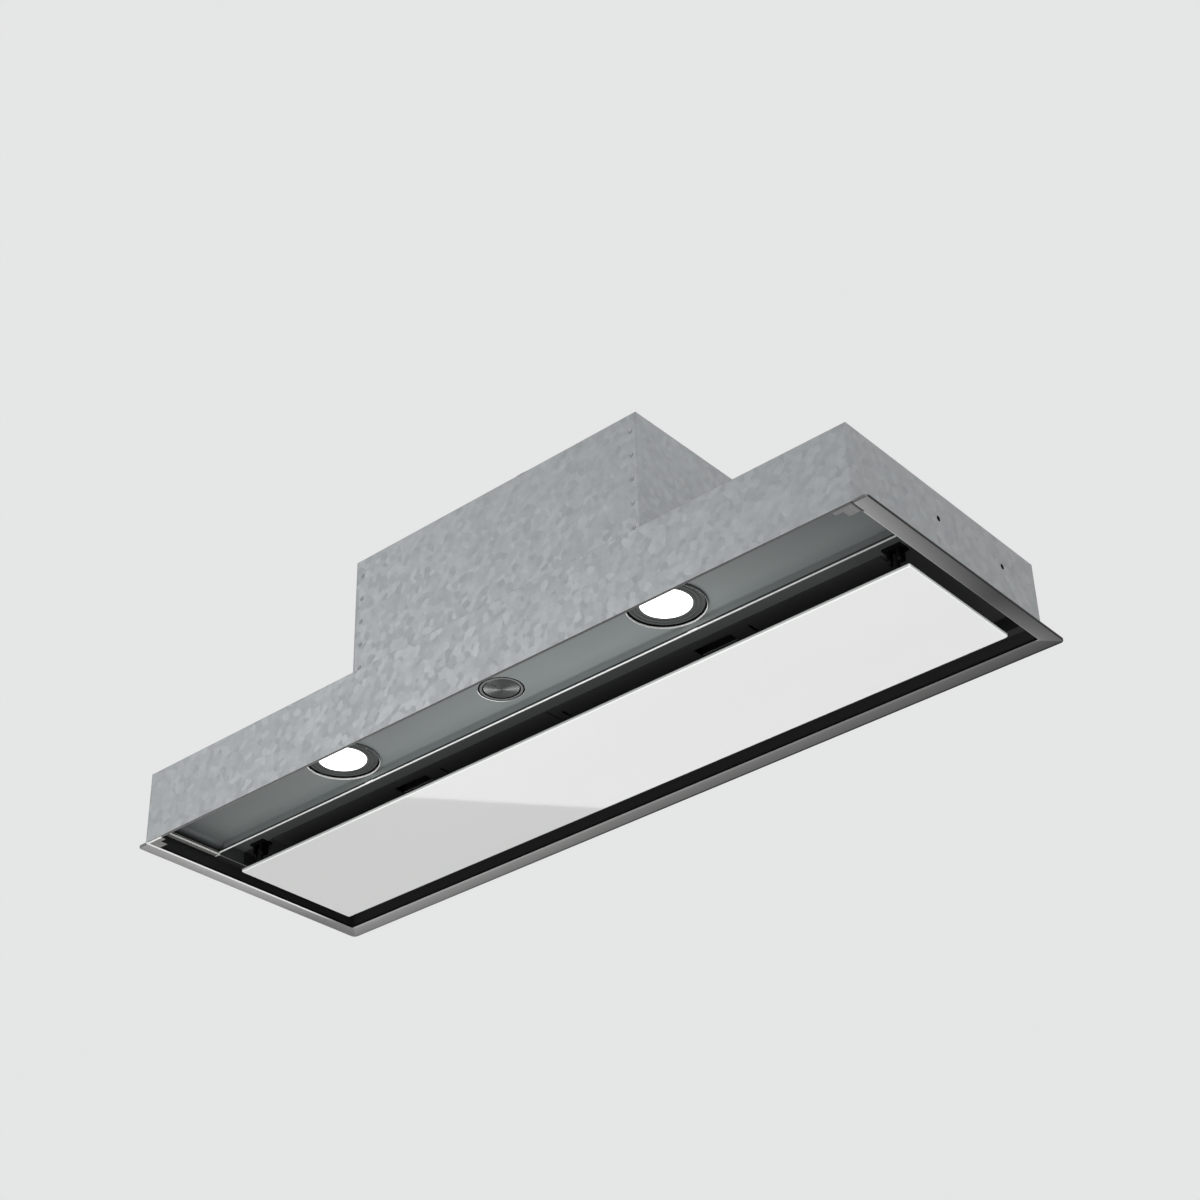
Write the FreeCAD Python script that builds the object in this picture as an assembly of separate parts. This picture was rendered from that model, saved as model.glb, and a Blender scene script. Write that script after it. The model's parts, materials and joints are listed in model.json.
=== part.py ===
import FreeCAD, Part
import math
import os

Vec = FreeCAD.Vector
UP = Vec(0, 0, 1)
ALONG_X = Vec(1, 0, 0)
ALONG_Y = Vec(0, 1, 0)

# All sizes are in millimetres. +Z is up, +X is right and -Y is the front, where the lamps are.
# The origin is at the middle of the trim frame's underside.

# Trim frame
frame_width = 898.0
frame_depth = 302.0
frame_corner = 5.0
trim_sheet = 0.8
side_flange = 16.0
rear_flange = 19.0
trim_lip = 2.2
tab_width = 12.0
tab_depth = 13.6
tab_step_width = 7.5
tab_step_depth = 5.2
tab_seam = 0.5
hem_gap = 1.0

# Suction frame, the black stepped surround
surround_sheet = 1.0
edge_setback = 1.0
ledge_height = 15.0
ledge_width = 9.0
deck_height = 30.0
side_band = 42.0
front_band = 31.0
rear_band = 29.0

# Lamp panel, the folded tray in front
tray_sheet = 0.8
tray_height = 28.0
tray_span = 84.4
tray_end_gap = 0.1
tray_end_width = 6.2
tray_hem = 1.8
tray_hem_rise = 2.0
tray_end_bend = 5.0
hole_rim = 4.0

# Lamps
lamp_offset = 203.6
lamp_from_rear = 37.1
lamp_hole_r = 36.2
lamp_collar = 2.4
lamp_bezel_r = 34.6
lamp_lens_r = 23.5
lamp_lens_gap = 0.3
lamp_step = 3.0
lamp_recess = 0.2
lamp_lip = 1.6
lamp_flange = 1.5
groove_depth = 0.5
groove_width = 1.2
lamp_can_r = 32.0
lamp_can_height = 18.0
lamp_fins = 9
lamp_fin_depth = 10.0

# Control knob
knob_from_rear = 29.2
knob_hole_r = 22.0
knob_bezel_r = 20.3
knob_bezel_wall = 2.2
knob_gap = 1.2
knob_drop = 0.6
knob_crown = 0.8
knob_edge = 1.2
knob_height = 8.0
knob_wall = 1.6
knob_boss_r = 6.0
knob_mark_from = 7.0
knob_mark_to = 13.7
knob_mark_width = 1.2
knob_mark_depth = 0.4
shaft_r = 3.0
shaft_length = 27.0
shaft_gap = 0.05
push_travel = 1.5
rotor_r = 5.0
rotor_gap = 0.05
rotor_length = 11.0
encoder_side = 16.0
encoder_height = 9.0
board_length = 96.0
board_depth = 46.0
board_sheet = 1.6
control_wall = 2.0
control_gap = 4.0
control_boss_r = 3.5

# Lamp driver
driver_length = 96.0
driver_depth = 40.0
driver_height = 26.0
driver_offset = 330.0

# Glass panel and its carrier
glass_side_gap = 17.0
glass_rear_gap = 21.0
glass_front_gap = 21.5
glass_sheet = 4.0
glass_corner = 2.5
glass_edge = 1.2
carrier_sheet = 1.0
carrier_inset = 8.0
carrier_rear_inset = 4.5
carrier_lip = 6.0

# Panel hinge
hinge_inset = 6.0
hinge_height = 13.0
hinge_from_end = 36.0
hinge_width = 28.0
hinge_sheet = 1.5
hinge_pin_r = 2.5
hinge_gap = 0.05
hinge_side_gap = 1.5
knuckle_wall = 2.4
ear_wall = 3.0
hinge_web = 4.0
hinge_base_depth = 24.0

# Catches and strikes
catch_from_end = 18.0
catch_from_front = 9.5
catch_base = 2.0
catch_depth = 10.0
catch_jaw = 3.0
catch_reach = 15.0
strike_r = 3.0
strike_gap = 0.5
strike_foot = 1.5
strike_clear = 4.0

# Grease filters
filter_gap = 0.8
filter_split = 1.0
filter_height = 9.0
filter_sheet = 1.0
filter_lip = 10.0
filter_front_lip = 37.0
filter_tongue = 5.0
tongue_width = 30.0
tongue_sheet = 1.0
pleat_pitch = 12.2
pleat_height = 5.6
pleat_sheet = 1.2
pad_gap = 0.6
slot_width = 42.0
slot_front = 10.2
slot_corner = 1.1
slot_end_gap = 0.6
relief_offset = 42.0
relief_width = 2.4
relief_length = 15.0
relief_inset = 11.0
latch_gap = 0.3
latch_sheet = 1.6
latch_grip = 12.0
latch_tongue = 5.0
latch_travel = 6.0
latch_margin = 4.0
latch_bar = 1.2

# Casing
casing_sheet = 1.0
casing_height = 78.0
casing_tab = 12.0
fixing_height = 50.0
fixing_hole_r = 2.75
fixing_spacing = 100.0
fixing_centre = 30.0
bead_width = 10.0
bead_height = 1.6
bead_end_margin = 60.0

# Blower box
blower_half_length = 184.0
blower_front = -110.0
blower_rear = 118.0
blower_height = 165.0
foot_width = 12.0

# Blower
fan_r = 70.0
fan_blade_root = 56.0
fan_half_width = 50.0
fan_disc = 2.0
fan_ring = 2.0
fan_ring_lap = 1.0
fan_hub_r = 12.0
fan_hub_length = 30.0
blade_count = 30
blade_sheet = 1.2
blade_lead = 8.5
blade_sag = 2.0
scroll_gap = 6.0
scroll_growth = 8.0
scroll_wall = 2.0
scroll_side_gap = 14.0
scroll_flare = 48.0
inlet_r = 58.0
inlet_lip = 4.0
fan_rise = 67.0
fan_shaft_r = 4.0
fan_shaft_gap = 0.05
motor_r = 40.0
motor_length = 84.0
motor_end_gap = 13.0
motor_boss_r = 14.0
motor_boss = 5.0
motor_bore_depth = 60.0
bracket_sheet = 2.0
bracket_ring = 8.0
bracket_arm = 14.0
bracket_band = 24.0

# Outlet collar and damper
collar_y = 10.0
collar_r = 75.0
collar_wall = 2.0
collar_height = 45.0
collar_flange_r = 88.0
collar_flange = 2.0
damper_height = 14.0
damper_sheet = 1.6
damper_gap = 1.5
damper_rib = 3.0
damper_rest_gap = 0.3
damper_pin_r = 1.5
damper_pin_gap = 0.05
damper_knuckle_r = 3.6
damper_knuckle = 20.0
damper_edge = 5.0

# Terminal box and cable gland
terminal_gap = 33.0
terminal_y = -20.0
terminal_length = 80.0
terminal_width = 70.0
terminal_height = 34.0
terminal_wall = 2.5
terminal_lid = 3.0
terminal_lid_lip = 2.0
gland_bore_r = 4.2
gland_r = 8.0
gland_length = 16.0
gland_nut = 11.0
gland_nut_length = 7.0

# Screws
screw_r = 1.75
screw_gap = 0.2
screw_head_r = 3.8
screw_head = 2.2
screw_length = 6.0
screw_margin = 6.0


# Places worked out from the sizes above
half_width = frame_width / 2
front = -frame_depth / 2
rear = frame_depth / 2
mouth_x = half_width - side_flange
mouth_rear = rear - rear_flange
skirt_x = mouth_x + edge_setback
skirt_rear = mouth_rear + edge_setback
wall_x = skirt_x + surround_sheet
wall_rear = skirt_rear + surround_sheet
casing_x = wall_x + casing_sheet
casing_rear = wall_rear + casing_sheet
casing_front = front
wall_front = casing_front + casing_sheet
tray_front = wall_front + tray_sheet
casing_top = casing_height + casing_sheet
inner_x = skirt_x - ledge_width
inner_rear = skirt_rear - ledge_width
ledge_top = ledge_height + surround_sheet
deck_top = deck_height + surround_sheet
tray_rear = tray_front + tray_span
tray_back = tray_rear + tray_sheet
tray_top = tray_height + tray_sheet
rim_top = tray_height + hole_rim
opening_x = inner_x - side_band
opening_front = tray_back + front_band
opening_rear = inner_rear - rear_band
lamp_y = tray_rear - lamp_from_rear
knob_y = tray_rear - knob_from_rear
bezel_top = rim_top + lamp_flange
glass_x = mouth_x - glass_side_gap
glass_rear = mouth_rear - glass_rear_gap
glass_front = tray_back + glass_front_gap
carrier_x = glass_x - carrier_inset
carrier_front = glass_front + carrier_inset
carrier_rear = glass_rear - carrier_rear_inset
carrier_top = glass_sheet + carrier_sheet
hinge_y = glass_rear - hinge_inset
hinge_x = glass_x - hinge_from_end
hinge_outer = hinge_x + hinge_width / 2
hinge_inner = hinge_x - hinge_width / 2
catch_x = glass_x - catch_from_end
catch_y = glass_front + catch_from_front
filter_front = opening_front + filter_gap
filter_rear = opening_rear - filter_gap
filter_inner = filter_split / 2
filter_outer = opening_x - filter_gap
filter_top = deck_height + filter_height
lip_top = deck_height + filter_sheet
slot_offset = (filter_inner + filter_outer) / 2
slot_y = filter_front + slot_front
slot_length = latch_grip + latch_bar + latch_travel + slot_end_gap
blower_x = blower_half_length + casing_sheet
blower_top = casing_top + blower_height
blower_roof = blower_top + casing_sheet
blower_foot_x = blower_x + foot_width
fan_height = casing_top + fan_rise
scroll_r = fan_r + scroll_gap
scroll_x = fan_half_width + scroll_side_gap
scroll_right = scroll_growth + scroll_r + 2 * scroll_growth
fan_y = collar_y - (scroll_right - scroll_flare) / 2
damper_z = blower_roof + damper_height
collar_bore_r = collar_r - collar_wall
terminal_x = blower_foot_x + terminal_gap + terminal_length / 2
terminal_top = casing_top + terminal_height


def box(x0, x1, y0, y1, z0, z1):
    return Part.makeBox(x1 - x0, y1 - y0, z1 - z0, Vec(x0, y0, z0))


def rod(radius, start, axis, length):
    return Part.makeCylinder(radius, length, start, axis)


def tube(outer, inner, start, axis, length):
    return rod(outer, start, axis, length).cut(rod(inner, start, axis, length))


def joined(shapes):
    return shapes[0].fuse(shapes[1:]).removeSplitter()


def mirrored(shape):
    return shape.mirror(Vec(0, 0, 0), ALONG_X)


def rounded_plate(x0, x1, y0, y1, z0, z1, radius):
    plate = box(x0, x1, y0, y1, z0, z1)
    uprights = [edge for edge in plate.Edges if abs(edge.tangentAt(edge.FirstParameter).z) > 0.99]
    return plate.makeFillet(radius, uprights)


def turned(profile, x, y):
    corners = [Vec(x + radius, y, z) for radius, z in profile]
    face = Part.Face(Part.makePolygon(corners + corners[:1]))
    return face.revolve(Vec(x, y, 0), UP, 360)


def swept_along_x(corners, x0, x1):
    wire = Part.makePolygon([Vec(x0, y, z) for y, z in corners + corners[:1]])
    return Part.Face(wire).extrude(Vec(x1 - x0, 0, 0))


def holed(shape, places, radius, axis, reach):
    for place in places:
        shape = shape.cut(rod(radius, place - axis * reach, axis, 2 * reach))
    return shape


# The flat flange on the left, right and rear, with a folded hem that the cabinet rests on and a
# low lip round the mouth. In front only a narrow edge and a stepped, seamed tab in each corner.
def make_trim_frame():
    flange = rounded_plate(-half_width, half_width, front, rear, 0, trim_sheet, frame_corner)
    flange = flange.cut(box(-mouth_x, mouth_x, tray_front, mouth_rear, 0, trim_sheet))
    lip_x = mouth_x + trim_sheet
    lip_rear = mouth_rear + trim_sheet
    side_lip = box(mouth_x, lip_x, tray_front, lip_rear, 0, trim_lip)
    rear_lip = box(-mouth_x, mouth_x, mouth_rear, lip_rear, 0, trim_lip)
    tab_x = mouth_x - tab_width
    tab_rear = tray_front + tab_depth
    tab = box(tab_x, mouth_x, tray_front, tab_rear, 0, trim_sheet)
    tab = tab.cut(box(mouth_x - tab_seam, mouth_x, tray_front, tab_rear, 0, trim_sheet / 2))
    step = box(tab_x - tab_step_width, tab_x, tray_front, tray_front + tab_step_depth, 0, trim_sheet)
    sides = [side_lip, tab, step]
    sides += [mirrored(side) for side in sides]
    hem_top = 2 * trim_sheet
    hem = rounded_plate(-half_width, half_width, front, rear, trim_sheet, hem_top, frame_corner)
    hem_x = casing_x + hem_gap
    hem_room = box(-hem_x, hem_x, casing_front - hem_gap, casing_rear + hem_gap, trim_sheet, hem_top)
    return joined([flange, rear_lip, hem.cut(hem_room)] + sides)


# Skirt, ledge, inner wall and deck, folded and welded from one black sheet.
def make_suction_frame():
    skirt = box(skirt_x, wall_x, wall_front, wall_rear, trim_sheet, ledge_top)
    ledge = box(inner_x, skirt_x, tray_back, wall_rear, ledge_height, ledge_top)
    inner = box(inner_x, inner_x + surround_sheet, tray_back, inner_rear, ledge_height, deck_top)
    rear_skirt = box(-wall_x, wall_x, skirt_rear, wall_rear, trim_sheet, ledge_top)
    rear_ledge = box(-skirt_x, skirt_x, inner_rear, skirt_rear, ledge_height, ledge_top)
    edge_x = inner_x + surround_sheet
    edge_rear = inner_rear + surround_sheet
    rear_inner = box(-edge_x, edge_x, inner_rear, edge_rear, ledge_height, deck_top)
    deck = box(-edge_x, edge_x, tray_back, edge_rear, deck_height, deck_top)
    window = box(-opening_x, opening_x, opening_front, opening_rear, deck_height, deck_top)
    sides = [skirt, ledge, inner]
    sides += [mirrored(side) for side in sides]
    return joined([deck.cut(window), rear_skirt, rear_ledge, rear_inner] + sides)


# Folded tray: face, four walls, two end flanges and a closed hem along the rear wall's lower
# edge, with a raised rim round each hole.
def make_lamp_panel():
    edge_x = inner_x + tray_sheet
    flange_x = skirt_x - tray_end_gap
    face = box(-edge_x, edge_x, wall_front, tray_back, tray_height, tray_top)
    hem_low = ledge_height + tray_hem_rise
    rear_wall = box(-edge_x, edge_x, tray_rear, tray_back, hem_low, tray_top)
    front_wall = box(-flange_x, flange_x, wall_front, tray_front, trim_sheet, tray_top)
    end_wall = box(inner_x, edge_x, wall_front, tray_back, ledge_height, tray_top)
    flange_top = ledge_height + tray_sheet
    end_x = inner_x + tray_end_width
    end_flange = box(inner_x, end_x, wall_front, tray_back, ledge_height, flange_top)
    hem_front = tray_rear - tray_sheet
    hem = box(-edge_x, edge_x, hem_front, tray_rear, hem_low, hem_low + tray_hem)
    long_edges = [edge for edge in hem.Edges if edge.BoundBox.XLength > inner_x]
    hem = hem.makeFillet(tray_sheet * 0.4, [edge for edge in long_edges if edge.BoundBox.YMax < tray_rear])
    bend_x = inner_x - tray_end_bend
    bend_z = tray_height - tray_end_bend
    axis = Vec(bend_x, tray_front, bend_z)
    inner_bend = box(bend_x, inner_x, tray_front, tray_rear, bend_z, tray_height)
    inner_bend = inner_bend.cut(rod(tray_end_bend, axis, ALONG_Y, tray_span))
    outer_bend = box(bend_x, edge_x, tray_front, tray_back, bend_z, tray_top)
    outer_bend = outer_bend.cut(rod(tray_end_bend + tray_sheet, axis, ALONG_Y, tray_span + tray_sheet))
    ends = [end_wall, end_flange, inner_bend]
    ends += [mirrored(end) for end in ends]
    tray = joined([face, rear_wall, front_wall, hem] + ends)
    tray = tray.cut(outer_bend).cut(mirrored(outer_bend))
    holes = [(side * lamp_offset, lamp_y, lamp_hole_r, tray_height - lamp_collar) for side in (-1, 1)]
    holes.append((0, knob_y, knob_hole_r, tray_height))
    rims = [rod(r + tray_sheet, Vec(x, y, low), UP, rim_top - low) for x, y, r, low in holes]
    tray = joined([tray] + rims)
    for x, y, r, low in holes:
        tray = tray.cut(rod(r, Vec(x, y, low), UP, rim_top - low))
    return tray


# Stepped ring that stands on the hole's rim, with two turned grooves in its visible face.
def make_lamp_bezel():
    low = tray_height + lamp_recess
    bore = lamp_lens_r + lamp_lens_gap
    step = low + lamp_step
    profile = [(bore, low)]
    land = (lamp_bezel_r - bore - 2 * groove_width) / 3
    for groove in range(2):
        start = bore + land + groove * (land + groove_width)
        profile += [(start, low), (start, low + groove_depth)]
        profile += [(start + groove_width, low + groove_depth), (start + groove_width, low)]
    profile += [(lamp_bezel_r, low), (lamp_bezel_r, rim_top), (lamp_hole_r + lamp_lip, rim_top)]
    profile += [(lamp_hole_r + lamp_lip, bezel_top), (bore + lamp_step, bezel_top)]
    profile += [(bore + lamp_step, step), (bore, step)]
    return turned(profile, lamp_offset, lamp_y)


# Stepped diffuser disc that rests on the bezel's inner step.
def make_lamp_lens():
    low = tray_height + lamp_recess
    step = low + lamp_step
    edge = lamp_lens_r + lamp_step
    profile = [(0, low), (lamp_lens_r, low), (lamp_lens_r, step), (edge, step)]
    profile += [(edge, bezel_top), (0, bezel_top)]
    return turned(profile, lamp_offset, lamp_y)


# Finned heat sink on a round foot, standing on the bezel.
def make_led_module():
    foot = rod(lamp_hole_r, Vec(lamp_offset, lamp_y, bezel_top), UP, lamp_can_height - lamp_fin_depth)
    can = rod(lamp_can_r, Vec(lamp_offset, lamp_y, bezel_top), UP, lamp_can_height)
    pitch = 2 * lamp_can_r / lamp_fins
    fin_floor = bezel_top + lamp_can_height - lamp_fin_depth
    fin_top = bezel_top + lamp_can_height
    y0 = lamp_y - lamp_can_r
    y1 = lamp_y + lamp_can_r
    for fin in range(lamp_fins - 1):
        middle = lamp_offset - lamp_can_r + pitch * (fin + 1)
        can = can.cut(box(middle - pitch / 4, middle + pitch / 4, y0, y1, fin_floor, fin_top))
    return joined([foot, can])


def make_knob_bezel():
    low = tray_height
    bore = knob_bezel_r - knob_bezel_wall
    flange_r = knob_hole_r + control_gap
    profile = [(bore, low), (knob_bezel_r, low), (knob_bezel_r, rim_top)]
    profile += [(flange_r, rim_top), (flange_r, bezel_top), (bore, bezel_top)]
    return turned(profile, 0, knob_y)


# Spun cap with a slightly domed face, a rolled edge, a pointer groove and an inner boss for the shaft.
def make_control_knob():
    knob_r = knob_bezel_r - knob_bezel_wall - knob_gap
    low = tray_height - knob_drop
    top = low + knob_height
    flat_r = knob_r - knob_edge
    inner = knob_r - knob_wall
    ceiling = low + knob_crown + knob_edge + knob_wall
    turn = knob_edge * (1 - math.sqrt(0.5))
    edge_low = low + knob_crown
    dome = Part.Arc(
        Vec(0, 0, low),
        Vec(flat_r / 2, 0, low + knob_crown / 4),
        Vec(flat_r, 0, edge_low),
    )
    roll = Part.Arc(
        Vec(flat_r, 0, edge_low),
        Vec(knob_r - turn, 0, edge_low + turn),
        Vec(knob_r, 0, edge_low + knob_edge),
    )
    corners = [(knob_r, edge_low + knob_edge), (knob_r, top), (inner, top), (inner, ceiling)]
    corners += [(knob_boss_r, ceiling), (knob_boss_r, top), (shaft_r, top), (shaft_r, ceiling)]
    corners += [(0, ceiling), (0, low)]
    walls = Part.makePolygon([Vec(r, 0, z) for r, z in corners])
    outline = Part.Wire([dome.toShape(), roll.toShape()] + walls.Edges)
    cap = Part.Face(outline).revolve(Vec(0, 0, 0), UP, 360)
    reaches = (knob_mark_from, knob_mark_to)
    mark = [(-reach, low + knob_crown * (reach / flat_r) ** 2 + knob_mark_depth) for reach in reaches]
    mark += [(-reach, low - knob_mark_depth) for reach in reversed(reaches)]
    cap = cap.cut(swept_along_x(mark, -knob_mark_width / 2, knob_mark_width / 2))
    cap.translate(Vec(0, knob_y, 0))
    return cap


def knob_seat():
    return tray_height - knob_drop + knob_crown + knob_edge + knob_wall


def make_knob_shaft():
    return rod(shaft_r, Vec(0, knob_y, knob_seat()), UP, shaft_length)


def rotor_base():
    return knob_seat() + shaft_length - push_travel - rotor_length


def make_encoder_rotor():
    start = Vec(0, knob_y, rotor_base())
    return tube(rotor_r, shaft_r + shaft_gap, start, UP, rotor_length)


def board_base():
    return rotor_base() + encoder_height + (rotor_length - encoder_height) / 2


# Square body under the board, bored for the rotor.
def make_encoder_body():
    half = encoder_side / 2
    low = board_base() - encoder_height
    body = rounded_plate(-half, half, knob_y - half, knob_y + half, low, board_base(), encoder_side / 10)
    return body.cut(rod(rotor_r + rotor_gap, Vec(0, knob_y, low), UP, encoder_height))


def make_control_board():
    y0 = knob_y - board_depth / 2
    y1 = knob_y + board_depth / 2
    top = board_base() + board_sheet
    board = box(-board_length / 2, board_length / 2, y0, y1, board_base(), top)
    return board.cut(rod(rotor_r + control_wall, Vec(0, knob_y, board_base()), UP, board_sheet))


# Moulded cover over the control, with four bosses that carry the board.
def make_control_housing():
    x = board_length / 2 + control_gap
    y0 = knob_y - board_depth / 2 - control_gap
    y1 = min(knob_y + board_depth / 2 + control_gap, tray_back - control_wall)
    roof = board_base() + board_sheet + control_gap + shaft_length / 4
    wall = control_wall
    shell = box(-x - wall, x + wall, y0 - wall, y1 + wall, tray_top, roof + wall)
    shell = shell.cut(box(-x, x, y0, y1, tray_top, roof))
    bosses = []
    for side in (-1, 1):
        for depth in (-1, 1):
            spot_x = side * (board_length / 2 - control_boss_r)
            spot_y = knob_y + depth * (board_depth / 2 - control_boss_r)
            start = Vec(spot_x, spot_y, board_base() + board_sheet)
            bosses.append(rod(control_boss_r, start, UP, roof - start.z))
    return joined([shell] + bosses)


def make_led_driver():
    x0 = -driver_offset - driver_length / 2
    y0 = lamp_y - driver_depth / 2
    edge = driver_height / 8
    return rounded_plate(
        x0, x0 + driver_length, y0, y0 + driver_depth, tray_top, tray_top + driver_height, edge
    )


# Plate glass with polished, slightly bevelled edges.
def make_glass_panel():
    plate = rounded_plate(-glass_x, glass_x, glass_front, glass_rear, 0, glass_sheet, glass_corner)
    rims = [edge for face in plate.Faces if abs(face.normalAt(0, 0).z) > 0.99 for edge in face.Edges]
    return plate.makeChamfer(glass_edge, rims)


# Steel back of the glass panel: folded lips on three sides and a knuckle at each hinge.
def make_panel_carrier():
    plate = box(-carrier_x, carrier_x, carrier_front, carrier_rear, glass_sheet, carrier_top)
    lip_top = carrier_top + carrier_lip
    lip_x = catch_x - 2 * strike_r - catch_jaw
    front_lip = box(-lip_x, lip_x, carrier_front, carrier_front + carrier_sheet, carrier_top, lip_top)
    lip_rear = hinge_y - 2 * (hinge_pin_r + knuckle_wall + ear_wall)
    end_lip = box(carrier_x - carrier_sheet, carrier_x, carrier_front, lip_rear, carrier_top, lip_top)
    reach = hinge_width - 2 * (hinge_sheet + hinge_side_gap)
    start_x = hinge_x - reach / 2
    start = Vec(start_x, hinge_y, hinge_height)
    bore_r = hinge_pin_r + hinge_gap
    knuckle = rod(bore_r + knuckle_wall, start, ALONG_X, reach)
    half_web = hinge_web / 2
    web = box(start_x, start_x + reach, hinge_y - half_web, hinge_y + half_web, carrier_top, hinge_height)
    bore = rod(bore_r, start, ALONG_X, reach)
    lug = knuckle.fuse(web).cut(bore)
    return joined([plate, front_lip, end_lip, mirrored(end_lip), lug, mirrored(lug)])


# U-shaped bracket under the deck, with a rounded ear on each side of the knuckle.
def make_hinge_bracket():
    ear_r = hinge_pin_r + ear_wall
    base_rear = min(hinge_y + hinge_base_depth / 2, inner_rear)
    base_front = base_rear - hinge_base_depth
    base = box(hinge_inner, hinge_outer, base_front, base_rear, deck_height - hinge_sheet, deck_height)
    ears = []
    for x in (hinge_inner, hinge_outer - hinge_sheet):
        leg = box(x, x + hinge_sheet, hinge_y - ear_r, hinge_y + ear_r, hinge_height, deck_height)
        ears.append(leg.fuse(rod(ear_r, Vec(x, hinge_y, hinge_height), ALONG_X, hinge_sheet)))
    bracket = joined([base] + ears)
    return bracket.cut(rod(hinge_pin_r, Vec(hinge_inner, hinge_y, hinge_height), ALONG_X, hinge_width))


def make_hinge_pin():
    return rod(hinge_pin_r, Vec(hinge_inner, hinge_y, hinge_height), ALONG_X, hinge_width)


# Moulded clip under the deck: two jaws with rounded ends that the strike stands between.
def make_catch():
    gap = strike_r + strike_gap
    half = catch_depth / 2
    base_x = gap + 2 * catch_jaw
    base_low = deck_height - catch_base
    low = deck_height - catch_reach
    y0 = catch_y - half
    y1 = catch_y + half
    base = box(catch_x - base_x, catch_x + base_x, y0 - catch_base, y1 + catch_base, base_low, deck_height)
    jaws = []
    for x in (catch_x - gap - catch_jaw, catch_x + gap):
        jaw = box(x, x + catch_jaw, y0, y1, low + half, base_low)
        jaws.append(jaw.fuse(rod(half, Vec(x, catch_y, low + half), ALONG_X, catch_jaw)))
    return joined([base] + jaws)


def make_panel_strike():
    top = deck_height - catch_base - strike_clear
    foot = rod(2 * strike_r, Vec(catch_x, catch_y, carrier_top), UP, strike_foot)
    post = rod(strike_r, Vec(catch_x, catch_y, carrier_top), UP, top - carrier_top)
    strike = joined([foot, post])
    tip = [edge for edge in strike.Edges if edge.BoundBox.ZMin > top - 0.01]
    return strike.makeFillet(strike_r / 3, tip)


# Filter tray with a bottom lip all round, rear tongues over the deck and a finger slot in front.
def make_filter_frame():
    tray = box(filter_inner, filter_outer, filter_front, filter_rear, deck_height, filter_top)
    tray = tray.cut(
        box(
            filter_inner + filter_sheet,
            filter_outer - filter_sheet,
            filter_front + filter_sheet,
            filter_rear - filter_sheet,
            lip_top,
            filter_top,
        )
    )
    tray = tray.cut(
        box(
            filter_inner + filter_lip,
            filter_outer - filter_lip,
            filter_front + filter_front_lip,
            filter_rear - filter_lip,
            deck_height,
            lip_top,
        )
    )
    tongues = []
    for share in (0.25, 0.75):
        middle = filter_inner + share * (filter_outer - filter_inner)
        x0 = middle - tongue_width / 2
        reach = filter_rear + filter_gap + filter_tongue
        tongues.append(box(x0, x0 + tongue_width, filter_rear, reach, deck_top, deck_top + tongue_sheet))
    tray = joined([tray] + tongues)
    half = slot_width / 2
    slot_rear = slot_y + slot_length
    slot_x = (slot_offset - half, slot_offset + half)
    slot = rounded_plate(*slot_x, slot_y, slot_rear, deck_height, lip_top, slot_corner)
    latch_half = half + latch_margin + latch_gap
    mouth_top = lip_top + 2 * latch_gap + latch_sheet
    latch_x = (slot_offset - latch_half, slot_offset + latch_half)
    mouth = box(*latch_x, filter_front, filter_front + filter_sheet, lip_top, mouth_top)
    return tray.cut(slot).cut(mouth)


# Narrow slit through a filter's front lip.
def relief_slit(middle):
    x0 = middle - relief_width / 2
    return box(x0, x0 + relief_width, slot_y, slot_y + relief_length, deck_height, lip_top)


# Pleated metal mesh pad: one zigzag sheet across the filter's width.
def make_filter_mesh():
    x0 = filter_inner + filter_sheet + pad_gap
    x1 = filter_outer - filter_sheet - pad_gap
    y0 = filter_front + filter_sheet + pad_gap + latch_travel + latch_grip + slot_front + latch_margin
    y1 = filter_rear - filter_sheet - pad_gap
    pleats = 2 * round((x1 - x0) / pleat_pitch)
    step = (x1 - x0) / pleats
    lower = [(x0 + step * i, lip_top + pleat_height * (i % 2)) for i in range(pleats + 1)]
    upper = [(x, z + pleat_sheet) for x, z in reversed(lower)]
    corners = [Vec(x, y0, z) for x, z in lower + upper]
    return Part.Face(Part.makePolygon(corners + corners[:1])).extrude(Vec(0, y1 - y0, 0))


# Sprung latch: a cupped finger grip above the slot and a tongue over the deck's front edge.
def make_filter_latch():
    half = slot_width / 2 + latch_margin
    x0 = slot_offset - half
    x1 = slot_offset + half
    floor = lip_top + latch_gap
    roof = filter_top - latch_sheet
    grip_front = slot_y - latch_bar
    grip_rear = slot_y + latch_grip
    tongue_front = opening_front - latch_tongue
    tongue = box(x0, x1, tongue_front, slot_y, floor, floor + latch_sheet)
    front_wall = box(x0, x1, grip_front, slot_y, floor, filter_top)
    cover = box(x0, x1, grip_front, grip_rear + latch_bar, roof, filter_top)
    rear_wall = box(x0, x1, grip_rear, grip_rear + latch_bar, floor, filter_top)
    bar_half = slot_width / 2 - latch_bar
    bar_x = (slot_offset - bar_half, slot_offset + bar_half)
    bar = box(*bar_x, grip_rear, grip_rear + latch_bar, deck_height, floor)
    return joined([tongue, front_wall, cover, rear_wall, bar])


def deck_screw_places():
    x = casing_x - screw_margin
    depths = (0.15, 0.5, 0.85)
    ys = [casing_front + share * (casing_rear - casing_front) for share in depths]
    return [Vec(side * x, y, casing_top) for side in (-1, 1) for y in ys]


def foot_screw_places():
    x = blower_x + foot_width / 2
    ys = (blower_front + foot_width, blower_rear - foot_width)
    return [Vec(side * x, y, casing_top + casing_sheet) for side in (-1, 1) for y in ys]


def collar_screw_places():
    radius = (collar_r + collar_flange_r) / 2
    places = []
    for turn in range(4):
        angle = math.radians(45 + 90 * turn)
        x = radius * math.cos(angle)
        y = collar_y + radius * math.sin(angle)
        places.append(Vec(x, y, blower_roof + collar_flange))
    return places


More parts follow.
